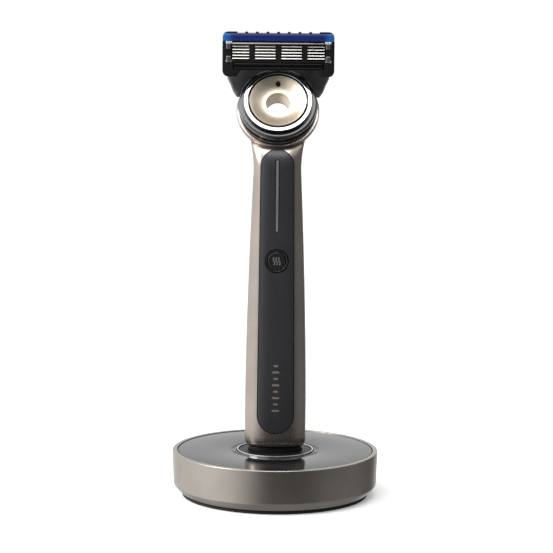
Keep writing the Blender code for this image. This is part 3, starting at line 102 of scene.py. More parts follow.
class RazorSizes(bpy.types.PropertyGroup):
    """Lengths that shape the visible pieces and that the frame's boxes don't give."""
    clearance: length("Clearance", "Gap between neighbouring pieces", 0.3)
    dock_chamfer: length("Dock chamfer", "Slope round the foot of the dock's wall", 3.0)
    dock_rim: length("Dock rim", "Width of the metal rim round the top plate", 1.85)
    dock_taper: length("Dock taper", "How far the dock's wall draws in towards its foot", 0.45)
    ledge: length("Ledge", "Width and thickness of the ledge under the top plate", 1.7)
    groove_first: length("First groove", "Distance of the inner groove outside the plate's hole", 1.0)
    groove_second: length("Second groove", "Distance of the outer groove outside the plate's hole", 1.85)
    groove_width: length("Groove width", "Width of the top plate's grooves", 0.3)
    groove_depth: length("Groove depth", "Depth of the top plate's grooves", 0.2)
    trim_width: length("Trim ring width", "Width of the bright ring round the cradle", 0.5)
    flange: length("Flange", "Thickness of the cradle's flange", 1.6)
    boss_bottom: length("Cradle boss", "Height of the underside of the cradle's boss", 9.2)
    post_radius: length("Post", "Radius of the posts under the cradle", 3.0)
    post_start: length("Post gap", "Height of a post's end above the base plate", 0.05)
    screw_bore: length("Screw bore", "Radius of the bore in a post", 1.2)
    inlet_wall: length("Inlet wall", "Thickness of the inlet's sheet", 0.5)
    inlet_round: length("Inlet rounding", "Rounding of the inlet's corners", 1.3)
    cap_inset: length("Foot inset", "How far the black foot stands back from the metal", 1.5)
    dock_edge: length("Dock edge", "Rounding of the rim's edges", 0.45)
    belly_half_width: length("Belly", "Half the handle's greatest width", 11.5)
    belly_rise: length("Belly height", "Height of the widest place above the handle's foot", 15.8)
    belly_depth: length("Belly depth", "Half the handle's greatest depth", 8.25)
    waist_half_width: length("Waist", "Half the width of the slimmest place", 8.95)
    waist_rise: length("Waist height", "Height of the slimmest place above the handle's foot", 103.8)
    waist_front: length("Waist front", "Depth of the waist in front of the axis", 6.6)
    waist_back: length("Waist back", "Depth of the waist behind the axis", 5.9)
    neck_rise: length("Neck", "Height of the neck above the waist", 13.4)
    neck_flare: length("Neck flare", "How far the neck widens to each side", 3.0)
    neck_front_rise: length("Neck front", "Height over which the neck's front falls back", 10.6)
    neck_front_fall: length("Neck front fall", "How far the neck's front falls back", 6.9)
    neck_back_fall: length("Neck back fall", "How far the neck's back comes forward", 3.8)
    foot_round: length("Foot rounding", "How far the handle draws in at its foot", 1.1)
    foot_round_rise: length("Foot rounding height", "Height of the rounding at the foot", 3.0)
    wall: length("Wall", "Thickness of the handle's metal", 1.4)
    panel_rise: length("Panel foot", "Height of the panel above the handle's foot", 5.3)
    panel_above_waist: length("Panel top", "Height of the panel's top above the waist", 8.4)
    panel_low_half_width: length("Panel foot width", "Half the panel's width at its foot", 7.0)
    panel_top_half_width: length("Panel top width", "Half the panel's width at its top", 6.3)
    panel_thickness: length("Panel thickness", "Thickness of the front panel", 1.2)
    panel_sink: length("Panel sink", "How far the panel lies below the metal", 0.05)
    cavity_above: length("Cavity", "Height of the hollow above the waist", 6.5)
    button_cap: length("Button cap", "Thickness of the button's cap", 1.15)
    stem_radius: length("Button stem", "Radius of the button's stem", 1.2)
    icon_line: length("Heat mark line", "Width of the heat mark's lines", 0.34)
    icon_width: length("Heat mark", "Width of the heat mark on the button", 3.0)
    print_height: length("Print height", "Thickness of printed marks", 0.04)
    mark_length: length("Front mark", "Length of the printed dashes on the panel", 17.0)
    mark_rise: length("Front mark height", "Height of the lowest dash above the panel's foot", 8.2)
    mark_half_width: length("Front mark width", "Half the width of the wider dashes", 1.35)
    chrome_outer: length("Chrome ring", "Outer radius of the chrome ring", 12.7)
    chrome_inner: length("Chrome ring bore", "Inner radius of the chrome ring", 11.25)
    dish_radius: length("Dish", "Radius of the gold dish", 10.5)
    dish_sink: length("Dish depth", "How deep the dish sinks to its hole", 2.5)
    hole_radius: length("Hole", "Radius of the hole through the disc", 4.45)
    disc_radius: length("Disc", "Radius of the turning disc", 14.6)
    disc_front: length("Disc front", "Depth of the disc's front edge below the chrome ring", 0.5)
    disc_back: length("Disc back", "Depth of the disc's back", 5.8)
    dish_rim: length("Dish rim", "Depth of the dish's rim below the disc's datum", -1.4)
    dish_thickness: length("Dish thickness", "Thickness of the dish's metal", 1.2)
    dimple_out: length("Dimple place", "Distance of the dimple from the disc's axis", 7.7)
    dimple_radius: length("Dimple", "Radius of the dimple", 1.0)
    dimple_depth: length("Dimple depth", "Depth of the dimple", 0.5)
    chrome_proud: length("Chrome height", "How far the chrome ring stands out of the disc's datum", 1.4)
    chrome_thickness: length("Chrome thickness", "Thickness of the chrome ring", 2.8)
    tongue: length("Tongue", "Thickness of the yoke's tongue", 1.2)
    tongue_middle: length("Tongue place", "Depth of the tongue's middle", 3.5)
    tongue_depth: length("Tongue depth", "How far the tongue reaches into the disc", 0.8)
    spring_groove: length("Spring groove", "Radius of the groove for the centring spring", 9.4)
    hub_wall: length("Hub wall", "Thickness of the hub's sleeve", 0.75)
    rear_cap_radius: length("Rear cap", "Radius of the cap behind the head", 8.0)
    cap_thickness: length("Rear cap thickness", "Thickness of the cap behind the head", 1.1)
    contact_bore: length("Contact bore", "Radius of the bores for the head's contacts", 0.85)
    plate_hole: length("Head plate hole", "Radius of the hole in the head plate", 5.7)
    plate_radius: length("Head plate", "Radius of the handle's round head plate", 15.4)
    plate_front: length("Head plate front", "Depth of the head plate's front", 6.1)
    plate_thickness: length("Head plate thickness", "Thickness of the head plate", 2.5)
    yoke_front: length("Yoke front", "Depth of the yoke's front face", 2.0)
    yoke_back: length("Yoke back", "Depth of the yoke's back face", 5.0)
    yoke_edge: length("Yoke edge", "Rounding of the yoke's edges", 0.25)
    yoke_top: length("Yoke top", "Height of the yoke's top above the disc's axis", 19.6)
    yoke_shoulder: length("Yoke shoulder", "Half the yoke's greatest width", 19.1)
    shoulder_rise: length("Shoulder height", "Height of the shoulder above the disc's axis", 12.7)
    wing_hip: length("Wing hip", "Half the wing's width at its hip", 17.7)
    wing_hip_rise: length("Wing hip height", "Height of the hip above the disc's axis", 9.4)
    wing_waist: length("Wing waist", "Half the wing's width at its waist", 16.8)
    wing_waist_rise: length("Wing waist height", "Height of the waist above the disc's axis", 6.8)
    wing_tip: length("Wing tip", "Half the width between the wings' tips", 15.4)
    wing_tip_rise: length("Wing tip height", "Height of the tips above the disc's axis", 4.6)
    arm_in: length("Arm inside", "Distance of an arm's inner face from the middle", 10.7)
    arm_out: length("Arm outside", "Distance of an arm's outer face from the middle", 13.3)
    boss_radius: length("Boss", "Radius of the knuckles round the pivot", 1.9)
    pin_bore: length("Pin bore", "Radius of the bores for the pivot pins", 1.1)
    tower: length("Tower", "Half the width of the plunger's housing", 2.6)
    tower_front: length("Tower front", "Place of the front of the plunger's housing", 8.6)
    lug: length("Lug", "Thickness of the cartridge's pivot lugs", 1.4)
    ear_drop: length("Ear", "How far the cartridge's lower corners drop", 2.4)
    ear_width: length("Ear width", "Width of a lower corner", 5.3)
    window_half: length("Window", "Half the width of the blade window", 17.3)
    window_below: length("Window foot", "Depth of the window below the pivot", 2.05)
    window_above: length("Window top", "Height of the window above the pivot", 4.2)
    strut_spacing: length("Strut place", "Distance of a side strut from the middle", 9.7)
    strut_width: length("Strut", "Width of a strut", 1.6)
    strut_depth: length("Strut depth", "Depth of a strut", 1.5)
    clip_sheet: length("Clip sheet", "Thickness of a clip", 0.35)
    clip_pad: length("Clip pad", "Height of a clip's front pads", 2.2)
    fin_depth: length("Fin depth", "Depth of the gaps between fins", 0.6)
    comb_slot: length("Comb slot", "Width of a comb slot", 2.9)
    comb_depth: length("Comb depth", "Depth of a comb slot", 0.8)
    blade_face: length("Blade face", "Height of a blade's bright face", 0.36)
    blade_sheet: length("Blade sheet", "Thickness of a blade", 0.1)
    comb_pitch: length("Comb pitch", "Distance from one comb slot to the next", 3.95)


class RazorCounts(bpy.types.PropertyGroup):
    """How finely round pieces are drawn, and how many small features repeat."""
    round_steps: IntProperty(name="Round steps", description="Sides of a large round piece", default=160,
                             min=24)
    small_steps: IntProperty(name="Small steps", description="Sides of a small round piece", default=48,
                             min=12)
    loft_sides: IntProperty(name="Handle sides", description="Points round the handle", default=144, min=24)
    loft_rings: IntProperty(name="Handle rings", description="Rings up the handle", default=72, min=12)
    blades: IntProperty(name="Blades", description="Blades in the cartridge", default=5, min=1, max=5)
    mark_dashes: IntProperty(name="Dashes", description="Dashes printed on the panel", default=8, min=2)
    guard_fins: IntProperty(name="Guard fins", description="Fins along the guard", default=42, min=2)
    comb_slots: IntProperty(name="Comb slots", description="Slots in the trimmer's comb", default=8, min=1)


class RazorColours(bpy.types.PropertyGroup):
    """Base colours of the finishes."""
    handle: colour("Handle metal", "Dark champagne metal of the handle", 0.42, 0.37, 0.33)
    dock: colour("Dock metal", "Brushed metal of the dock", 0.40, 0.365, 0.33)
    chrome: colour("Chrome", "Polished chrome", 0.66, 0.67, 0.69)
    gold: colour("Gold", "Pale rose gold of the dish", 1.0, 0.86, 0.69)
    steel: colour("Steel", "Plain steel", 0.62, 0.61, 0.60)
    blade: colour("Blade steel", "Ground steel of the blades", 0.86, 0.83, 0.79)
    panel: colour("Panel", "Black of the front panel", 0.017, 0.017, 0.02)
    gloss: colour("Piano black", "Black of the disc and the dock's plate", 0.008, 0.008, 0.009)
    satin: colour("Satin black", "Black of moulded pieces", 0.006, 0.006, 0.007)
    yoke: colour("Yoke grey", "Dark grey of the yoke", 0.035, 0.035, 0.037)
    strip: colour("Strip blue", "Dark blue of the lubrication strip", 0.002, 0.009, 0.085)
    strip_end: colour("Strip end", "Lighter blue at the strip's ends", 0.0, 0.09, 0.33)
    printed: colour("Print", "Warm grey of printed marks", 0.115, 0.095, 0.085)
    icon: colour("Heat mark", "Pale grey of the heat mark", 0.12, 0.115, 0.11)
    light: colour("Light bar", "Milky light bar when it is off", 0.10, 0.10, 0.105)
    floor: colour("Floor", "Pale studio floor", 0.90, 0.90, 0.90)


class RazorStage(bpy.types.PropertyGroup):
    """Camera and studio lights."""
    distance: length("Camera distance", "From the dock's axis to the camera", 1000.0)
    camera_height: length("Camera height", "Height of the camera above the floor", 231.0)
    aim_height: length("Aim height", "Height that the camera looks at", 83.0)
    lens: FloatProperty(name="Lens", description="Focal length", default=175.7, unit="CAMERA")
    roll: FloatProperty(name="Roll", description="Turn of the camera about its view",
                        default=math.radians(0.5),
                        unit="ROTATION")
    key_power: FloatProperty(name="Key power", description="Power of the large light on the left",
                             default=10.5,
                             unit="POWER")
    top_power: FloatProperty(name="Top power", description="Power of the light overhead", default=7.0,
                             unit="POWER")
    floor_glow: FloatProperty(name="Floor glow", description="Light that the floor gives off", default=0.2)
    backdrop: FloatProperty(name="Backdrop", description="Brightness behind the floor", default=1.0)
    room_dark: FloatProperty(name="Room", description="Brightness of the darkest side", default=0.08)
    room_left: FloatProperty(name="Room left", description="Added brightness on the left", default=1.1)
    room_right: FloatProperty(name="Room right", description="Added brightness on the right", default=0.15)
    room_behind: FloatProperty(name="Room behind", description="Added brightness behind", default=0.85)
    room_above: FloatProperty(name="Room above", description="Added brightness overhead", default=1.0)
    room_below: FloatProperty(name="Room below", description="Added brightness that the floor throws up",
                              default=0.25)


def in_millimetres(group):
    """The group's lengths as plain numbers of millimetres."""
    names = [name for name in group.bl_rna.properties.keys() if name not in ("rna_type", "name")]
    return SimpleNamespace(**{name: getattr(group, name) / MM for name in names})


# --- Shader expressions --------------------------------------------------------------------------

SOCKETS = {
    "base_color": "Base Color", "metallic": "Metallic", "roughness": "Roughness",
    "coat_weight": "Coat Weight",
    "coat_roughness": "Coat Roughness", "subsurface_weight": "Subsurface Weight",
    "subsurface_radius": "Subsurface Radius", "specular": "Specular IOR Level",
    "emission_color": "Emission Color", "emission_strength": "Emission Strength",
}


class Number:
    """A number in a shader, so that maths on it reads as an expression."""

    def __init__(self, shader, socket):
        self.shader = shader
        self.socket = socket

    def _math(self, operation, first, second=None):
        values = [first] if second is None else [first, second]
        made = self.shader.node("ShaderNodeMath", {"operation": operation}, dict(enumerate(values)))
        return Number(self.shader, made.outputs[0])

    def __add__(self, other):
        return self._math("ADD", self, other)

    def __radd__(self, other):
        return self._math("ADD", other, self)

    def __sub__(self, other):
        return self._math("SUBTRACT", self, other)

    def __rsub__(self, other):
        return self._math("SUBTRACT", other, self)

    def __mul__(self, other):
        return self._math("MULTIPLY", self, other)

    def __rmul__(self, other):
        return self._math("MULTIPLY", other, self)

    def __truediv__(self, other):
        return self._math("DIVIDE", self, other)

    def __pow__(self, other):
        return self._math("POWER", self, other)

    def __abs__(self):
        return self._math("ABSOLUTE", self)

    def sine(self):
        return self._math("SINE", self)

    def smooth(self, low, high):
        """0 below low and 1 above high, with an S between them."""
        made = self.shader.node("ShaderNodeMapRange", {"interpolation_type": "SMOOTHSTEP"},
                                {"Value": self, "From Min": low, "From Max": high})
        return Number(self.shader, made.outputs["Result"])


class Shader:
    """A node tree that is put together from expressions."""

    def __init__(self, tree):
        self.tree = tree

    def node(self, kind, settings, values):
        """One node: its settings first, then a value or a link for each named or numbered socket."""
        made = self.tree.nodes.new(kind)
        for key, value in settings.items():
            setattr(made, key, value)
        for key, value in values.items():
            self.feed(made.inputs[key], value)
        return made

    def feed(self, socket, value):
        if isinstance(value, Number):
            value = value.socket
        if isinstance(value, bpy.types.NodeSocket):
            self.tree.links.new(value, socket)
        else:
            socket.default_value = value

    def place(self, centre=(0, 0, 0)):
        """Object coordinates in millimetres from a centre, as X, Y and Z."""
        where = self.node("ShaderNodeTexCoord", {}, {}).outputs["Object"]
        moved = self.node("ShaderNodeMapping", {}, {"Vector": where, "Scale": (1 / MM,) * 3,
                                                    "Location": [-value for value in centre]})
        parts = self.node("ShaderNodeSeparateXYZ", {}, {"Vector": moved.outputs[0]})
        return moved.outputs[0], [Number(self, socket) for socket in parts.outputs]

    def noise(self, vector, scale, detail=3.0, stretch=(1, 1, 1)):
        moved = self.node("ShaderNodeMapping", {}, {"Vector": vector, "Scale": stretch})
        made = self.node("ShaderNodeTexNoise", {},
                         {"Vector": moved.outputs[0], "Scale": scale, "Detail": detail})
        return Number(self, made.outputs["Fac"])

    def mix(self, factor, first, second):
        """A colour between two, each a socket or three numbers."""
        ends = [(*end, 1.0) if isinstance(end, tuple) else end for end in (first, second)]
        made = self.node("ShaderNodeMix", {"data_type": "RGBA"}, {0: factor, 6: ends[0], 7: ends[1]})
        return made.outputs[2]


class Finish(Shader):
    """A material whose Principled shader takes plain values and expressions."""

    def __init__(self, name, **values):
        self.material = bpy.data.materials.new(name)
        self.material.use_nodes = True
        super().__init__(self.material.node_tree)
        self.surface = self.tree.nodes["Principled BSDF"]
        self.set(**values)

    def set(self, **values):
        for key, value in values.items():
            self.feed(self.surface.inputs[SOCKETS[key]], value)
        return self

    def bump(self, height, strength, distance):
        made = self.node("ShaderNodeBump", {},
                         {"Height": height, "Strength": strength, "Distance": distance * MM})
        self.tree.links.new(made.outputs[0], self.surface.inputs["Normal"])
        return self


def shaded(rgb, amount):
    """The colour made lighter or darker by a share."""
    return tuple(min(value * amount, 1.0) for value in rgb)


FINISHES = {}


def finish(name):
    return FINISHES[name].material


def brushed(name, rgb, roughness, stretch, grain=0.06, depth=0.012):
    """Metal with fine parallel strokes, drawn out along the axes where the stretch is small."""
    made = Finish(name, metallic=1.0, roughness=roughness)
    where, _ = made.place()
    strokes = made.noise(where, 1.0, 4.0, stretch)
    clouds = made.noise(where, 0.06, 2.0)
    made.set(base_color=made.mix(clouds.smooth(0.35, 0.7), shaded(rgb, 0.93), shaded(rgb, 1.05)),
             roughness=roughness + (strokes - 0.5) * grain * 2 + (clouds - 0.5) * 0.05)
    return made.bump(strokes, 0.35, depth)


def polished(name, rgb, roughness, wear=0.04):
    """Metal with faint smears that only the gloss shows."""
    made = Finish(name, base_color=(*rgb, 1.0), metallic=1.0, roughness=roughness)
    where, _ = made.place()
    smears = made.noise(where, 0.35, 4.0)
    return made.set(roughness=roughness + smears.smooth(0.45, 0.75) * wear)


def plastic(name, rgb, roughness, grain, depth, scale=3.0, coat=0.0, specular=0.5):
    """Moulded plastic with a fine texture in its gloss and its relief."""
    made = Finish(name, roughness=roughness, coat_weight=coat, coat_roughness=0.05, specular=specular)
    where, _ = made.place()
    fine = made.noise(where, scale, 4.0)
    clouds = made.noise(where, 0.12, 3.0)
    made.set(base_color=made.mix(clouds, shaded(rgb, 0.85), shaded(rgb, 1.2)),
             roughness=roughness + (fine - 0.5) * grain + (clouds - 0.5) * grain)
    return made.bump(fine, 0.4, depth)


def turned_gold(rgb):
    """Gold with lathe rings about the disc's axis."""
    made = Finish("turned_gold", metallic=1.0, roughness=0.2)
    where = made.node("ShaderNodeTexCoord", {}, {}).outputs["Object"]
    inverse = HEAD.inverted()
    local = made.node("ShaderNodeMapping", {}, {"Vector": where, "Location": inverse.translation,
                                                "Rotation": inverse.to_euler(), "Scale": (1 / MM,) * 3})
    x, y, _ = [Number(made, socket) for socket in
               made.node("ShaderNodeSeparateXYZ", {}, {"Vector": local.outputs[0]}).outputs]
    radius = (x * x + y * y) ** 0.5
    rings = (radius * 28.0).sine() * 0.5 + 0.5
    clouds = made.noise(local.outputs[0], 0.3, 2.0)
    made.set(base_color=made.mix(clouds, shaded(rgb, 0.96), shaded(rgb, 1.04)),
             roughness=0.40 + rings * 0.05)
    return made.bump(rings, 0.12, 0.01)


def blue_strip(rgb, end, half_width):
    """Waxy blue strip, lighter where it wraps round its ends, with faint lengthwise streaks."""
    made = Finish("strip_blue", roughness=0.4, specular=0.2, coat_weight=0.08, coat_roughness=0.25,
                  subsurface_weight=0.1, subsurface_radius=(0.0005, 0.0006, 0.001))
    where, (x, _, _) = made.place()
    streaks = made.noise(where, 0.9, 3.0, (0.08, 1, 2.2))
    ends = abs(x).smooth(half_width - 4.5, half_width - 0.6)
    body = made.mix(streaks, shaded(rgb, 0.7), shaded(rgb, 1.5))
    made.set(base_color=made.mix(ends * (0.55 + streaks * 0.5), body, end), roughness=0.36 + streaks * 0.2)
    return made.bump(streaks, 0.3, 0.05)


def dock_plate(rgb):
    """Piano black with hairline wipe marks."""
    made = Finish("plate_black", base_color=(*rgb, 1.0), roughness=0.07)
    where, _ = made.place()
    clouds = made.noise(where, 0.05, 3.0)
    marks = made.noise(where, 0.8, 2.0, (1, 0.06, 1))
    return made.set(roughness=0.06 + clouds * 0.05 + marks.smooth(0.66, 0.8) * 0.06)


def circuit_board():
    """Green lacquer over copper tracks."""
    made = Finish("board_green", roughness=0.35)
    where, (x, y, z) = made.place()
    lanes = ((x + z * 0.5) * 4.2).sine().smooth(0.55, 0.8) * ((y + z) * 1.7).sine().smooth(-0.2, 0.2)
    return made.set(base_color=made.mix(lanes, (0.012, 0.10, 0.035), (0.05, 0.24, 0.09)),
                    roughness=0.4 - lanes * 0.1)


def make_finishes(colours):
    strip_half = span("lubrication_strip")[1].x
    return {
        "handle": brushed("handle_champagne", colours.handle, 0.27, (9, 9, 0.35), 0.05, 0.006),
        "dock": brushed("dock_brushed", colours.dock, 0.30, (0.5, 0.5, 14), 0.07, 0.012),
        "chrome": polished("chrome", colours.chrome, 0.06),
        "gold": turned_gold(colours.gold),
        "steel": brushed("plain_steel", colours.steel, 0.3, (0.4, 4, 4), 0.08),
        "blade": brushed("blade_steel", colours.blade, 0.34, (0.3, 8, 8), 0.06, 0.004),
        # painted shade: the warming bar is the plain steel colour cut to 4%, a shaded copy of steel that
        # paints in the dark reflection it shows under the blades
        "bar": polished("bar_steel", shaded(colours.steel, 0.04), 0.3, 0.08),
        "panel": plastic("panel_black", colours.panel, 0.34, 0.06, 0.004, 6.0, 0.15),
        "gloss": plastic("disc_black", colours.gloss, 0.16, 0.05, 0.002, 2.0, 0.6),
        "plate": dock_plate(colours.gloss),
        "satin": plastic("satin_black", colours.satin, 0.42, 0.16, 0.012, 5.0, specular=0.2),
        "yoke": plastic("yoke_grey", colours.yoke, 0.42, 0.14, 0.015, 5.0),
        "strip": blue_strip(tuple(colours.strip), tuple(colours.strip_end), strip_half),
        "rubber": plastic("rubber_black", shaded(colours.satin, 0.8), 0.75, 0.2, 0.03, 3.0),
        "mark": plastic("mark_pale", colours.icon, 0.4, 0.1, 0.004, 6.0),
        "print": plastic("print_grey", colours.printed, 0.45, 0.1, 0.004, 6.0),
        "light": plastic("light_milky", colours.light, 0.3, 0.05, 0.004, 2.0, 0.3),
        "board": circuit_board(),
        "brass": polished("contact_gold", (0.85, 0.64, 0.30), 0.18, 0.1),
        "cell": plastic("cell_wrap", (0.03, 0.10, 0.28), 0.3, 0.1, 0.01, 1.0, 0.3),
        "ribbon": plastic("ribbon_amber", (0.50, 0.25, 0.06), 0.35, 0.1, 0.01, 2.0),
    }


# --- Shapes, drawn in millimetres ----------------------------------------------------------------

def arc(centre, radius, start, end, steps):
    """Points on a round stretch between two angles in degrees."""
    angles = [math.radians(start + (end - start) * i / steps) for i in range(steps + 1)]
    return [(centre[0] + radius * math.cos(angle), centre[1] + radius * math.sin(angle)) for angle in angles]


def rounded(points, steps=4):
    """A closed outline whose third numbers are the radii of its corners."""
    drawn = []
    for i, (x, y, *radius) in enumerate(points):
        corner = Vector((x, y))
        if not radius:
            drawn.append((x, y))
            continue
        before = Vector(points[i - 1][:2]) - corner
        after = Vector(points[(i + 1) % len(points)][:2]) - corner
        reach = radius[0] / math.tan(before.angle(after) / 2)
        reach = min(reach, before.length * 0.49, after.length * 0.49)
        start = corner + before.normalized() * reach
        end = corner + after.normalized() * reach
        for step in range(steps + 1):
            share = step / steps
            bend = start * (1 - share) ** 2 + corner * 2 * share * (1 - share) + end * share ** 2
            drawn.append(tuple(bend))
    return drawn


def turn(profile, steps):
    """A solid turned about Z from (radius, height) points; one that meets the axis is left open there."""
    shape = bmesh.new()
    ring = [shape.verts.new((radius, 0, height)) for radius, height in profile]
    edges = [shape.edges.new(pair) for pair in zip(ring, ring[1:])]
    if profile[0][0] > 0 or profile[-1][0] > 0:
        edges.append(shape.edges.new((ring[-1], ring[0])))
    bmesh.ops.spin(shape, geom=ring + edges, cent=(0, 0, 0), axis=(0, 0, 1), dvec=(0, 0, 0),
                   angle=2 * math.pi, steps=steps, use_merge=True, use_duplicate=False)
    bmesh.ops.remove_doubles(shape, verts=shape.verts, dist=0.0005)
    bmesh.ops.recalc_face_normals(shape, faces=shape.faces)
    return shape


def ring_shape(outer, inner, low, high, edge, steps):
    return turn(rounded([(outer, high, edge), (outer, low, edge), (inner, low, edge), (inner, high, edge)],
                        3), steps)


def soften(shape, edges, width, segments=2):
    if width and edges:
        bmesh.ops.bevel(shape, geom=edges, offset=width, offset_type="OFFSET", segments=segments,
                        profile=0.5,
                        affect="EDGES", clamp_overlap=False, material=-1)
    return shape


def slab(outline, low, high, across, edge=0.0, segments=2):
    """A flat outline made thick along an axis, with its rims softened."""
    shape = bmesh.new()
    face = shape.faces.new([shape.verts.new((first, second, 0)) for first, second in outline])
    pulled = bmesh.ops.extrude_face_region(shape, geom=[face])["geom"]
    raised = [item for item in pulled if isinstance(item, bmesh.types.BMVert)]
    bmesh.ops.translate(shape, verts=raised, vec=(0, 0, high - low))
    bmesh.ops.recalc_face_normals(shape, faces=shape.faces)
    rims = [item for item in shape.edges if abs(item.verts[0].co.z - item.verts[1].co.z) < 1e-6]
    soften(shape, rims, edge, segments)
    turns = {"X": (ACROSS_X, low, (1, 0, 0)), "Y": (TO_FRONT, high, (0, 1, 0)), "Z": (WORLD, low, (0, 0, 1))}
    matrix, start, axis = turns[across]
    bmesh.ops.transform(shape, matrix=Matrix.Translation(Vector(axis) * start) @ matrix, verts=shape.verts)
    return shape


def block(low, high, edge=0.0, segments=2):
    shape = bmesh.new()
    bmesh.ops.create_cube(shape, size=1.0)
    sizes = [top - bottom for bottom, top in zip(low, high)]
    middle = [(top + bottom) / 2 for bottom, top in zip(low, high)]
    bmesh.ops.transform(shape, matrix=Matrix.Translation(middle) @ Matrix.Diagonal((*sizes, 1)),
                        verts=shape.verts)
    return soften(shape, list(shape.edges), edge, segments)


def solid(name, shape, matrix=WORLD):
    """An object in metres from a shape in millimetres."""
    bmesh.ops.transform(shape, matrix=Matrix.Scale(MM, 4) @ matrix, verts=shape.verts)
    mesh = bpy.data.meshes.new(name)
    shape.to_mesh(mesh)
    shape.free()
    made = bpy.data.objects.new(name, mesh)
    bpy.context.scene.collection.objects.link(made)
    return made


def carve(target, operation, tools):
    """Boolean the tools, given as shapes or (shape, matrix) pairs, into a finished mesh."""
    helpers = []
    for tool in tools:
        shape, matrix = tool if isinstance(tool, tuple) else (tool, WORLD)
        helper = solid("tool", shape, matrix)
        modifier = target.modifiers.new("tool", "BOOLEAN")
        modifier.operation = operation
        modifier.solver = "EXACT"
        modifier.object = helper
        helpers.append(helper)
    seen = target.evaluated_get(bpy.context.evaluated_depsgraph_get())
    mesh = bpy.data.meshes.new_from_object(seen)
    target.modifiers.clear()
    target.data = mesh
    for helper in helpers:
        bpy.data.objects.remove(helper, do_unlink=True)


# --- The handle's outside ------------------------------------------------------------------------

TAPER_POWER = 1.6               # how late the handle's taper sets in
SECTION_POWER = 2.6             # exponent of the superelliptical cross-section


def quarter_round(share):
    """0 at 0 and 1 at 1, bending ever faster, as a quarter of a circle does."""
    clamped = min(max(share, 0.0), 1.0)
    return 1 - math.sqrt(1 - clamped * clamped)


def handle_size(s, z, foot):
    """Half the width, the front depth and the back depth of the handle at a height."""
    waist = foot + s.waist_rise
    along = min(max((z - foot - s.belly_rise) / (s.waist_rise - s.belly_rise), 0.0), 1.0) ** TAPER_POWER
    drawn_in = s.foot_round * quarter_round(1 - (z - foot) / s.foot_round_rise)
    flare = quarter_round((z - waist) / s.neck_rise)
    width = s.belly_half_width - (s.belly_half_width - s.waist_half_width) * along
    width += s.neck_flare * flare - drawn_in
    front = s.belly_depth - (s.belly_depth - s.waist_front) * along - drawn_in
    front -= s.neck_front_fall * quarter_round((z - waist) / s.neck_front_rise)
    back = s.belly_depth - (s.belly_depth - s.waist_back) * along - drawn_in - s.neck_back_fall * flare
    return width, front, back


def ring_stack(rings, sides):
    """A closed skin through oval rings, each a height, a half width, a front and a back depth."""
    shape = bmesh.new()
    last = len(rings) - 1
    bmesh.ops.create_cone(shape, cap_ends=True, segments=sides, radius1=1.0, radius2=1.0, depth=last)
    upright = [edge for edge in shape.edges if abs(edge.verts[0].co.z - edge.verts[1].co.z) > 0.5]
    if last > 1:
        bmesh.ops.subdivide_edges(shape, edges=upright, cuts=last - 1)
    for vert in shape.verts:
        vert.co = oval_point(math.atan2(vert.co.y, vert.co.x), *rings[round(vert.co.z + last / 2)])
    bmesh.ops.recalc_face_normals(shape, faces=shape.faces)
    return shape


def handle_body(s, n, inset, low, high):
    """The handle's outside between two heights, shrunk by an inset, with close rings at both ends."""
    foot = span("handle_shell")[0].z
    neck = foot + s.waist_rise + s.neck_rise
    rings = []
    for i in range(n.loft_rings + 1):
        z = low + (high - low) * (1 - math.cos(math.pi * i / n.loft_rings)) / 2
        sizes = handle_size(s, min(max(z, foot), neck), foot)
        rings.append((z, *[size - inset for size in sizes]))
    return ring_stack(rings, n.loft_sides)


def oval_point(angle, z, width, front, back):
    """A point of a superelliptical ring, whose centre lies halfway between its front and back."""
    across, along = math.cos(angle), math.sin(angle)
    x = width * math.copysign(abs(across) ** (2 / SECTION_POWER), across)
    y = (back - front) / 2 + (back + front) / 2 * math.copysign(abs(along) ** (2 / SECTION_POWER), along)
    return x, y, z


def stadium(low, high, low_half, high_half, steps=24):
    """A long upright outline with a half-round at each end."""
    return arc((0, low + low_half), low_half, 180, 360, steps) + arc((0, high - high_half), high_half, 0,
                                                                     180, steps)


def panel_outline(s, foot, margin):
    return stadium(foot + s.panel_rise + margin, foot + s.waist_rise + s.panel_above_waist - margin,
                   s.panel_low_half_width - margin, s.panel_top_half_width - margin)


def front_skin(s, n, name, outline, look, body, replaced, inset, thickness):
    """A piece of the handle's front face with the given outline."""
    low, high = span("handle_shell")[0].z, span("front_panel")[1].z
    made = solid(name, handle_body(s, n, inset, low, high + s.panel_thickness))
    inside = handle_body(s, n, inset + thickness, low + s.foot_round, high + s.panel_thickness / 2)
    carve(made, "INTERSECT", [slab(outline, -2 * s.belly_depth, span("front_panel")[1].y, "Y")])
    carve(made, "DIFFERENCE", [inside])
    return dress(made, look, body, replaced)


def dress(made, look, body, replaced=(), sharp=32):
    """Shade a finished mesh, give it its material and tie it to its body."""
    made.data.shade_smooth()
    made.data.set_sharp_from_angle(angle=math.radians(sharp))
    made.data.materials.clear()
    made.data.materials.append(finish(look))
    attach(made, body)
    if replaced:
        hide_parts(*replaced)
    return made


def piece(name, shape, look, body, replaced=(), matrix=WORLD, cuts=(), joins=()):
    """A finished piece that rides on a body and stands for the CAD nodes it replaces."""
    made = solid(name, shape, matrix)
    if joins:
        carve(made, "UNION", joins)
    if cuts:
        carve(made, "DIFFERENCE", cuts)
    return dress(made, look, body, replaced)


def at(x=0.0, y=0.0, z=0.0):
    return Matrix.Translation((x, y, z))


def rod(radius, low, high, steps=32):
    return turn([(0, high), (radius, high), (radius, low), (0, low)], steps)


# --- Dock ----------------------------------------------------------------------------------------

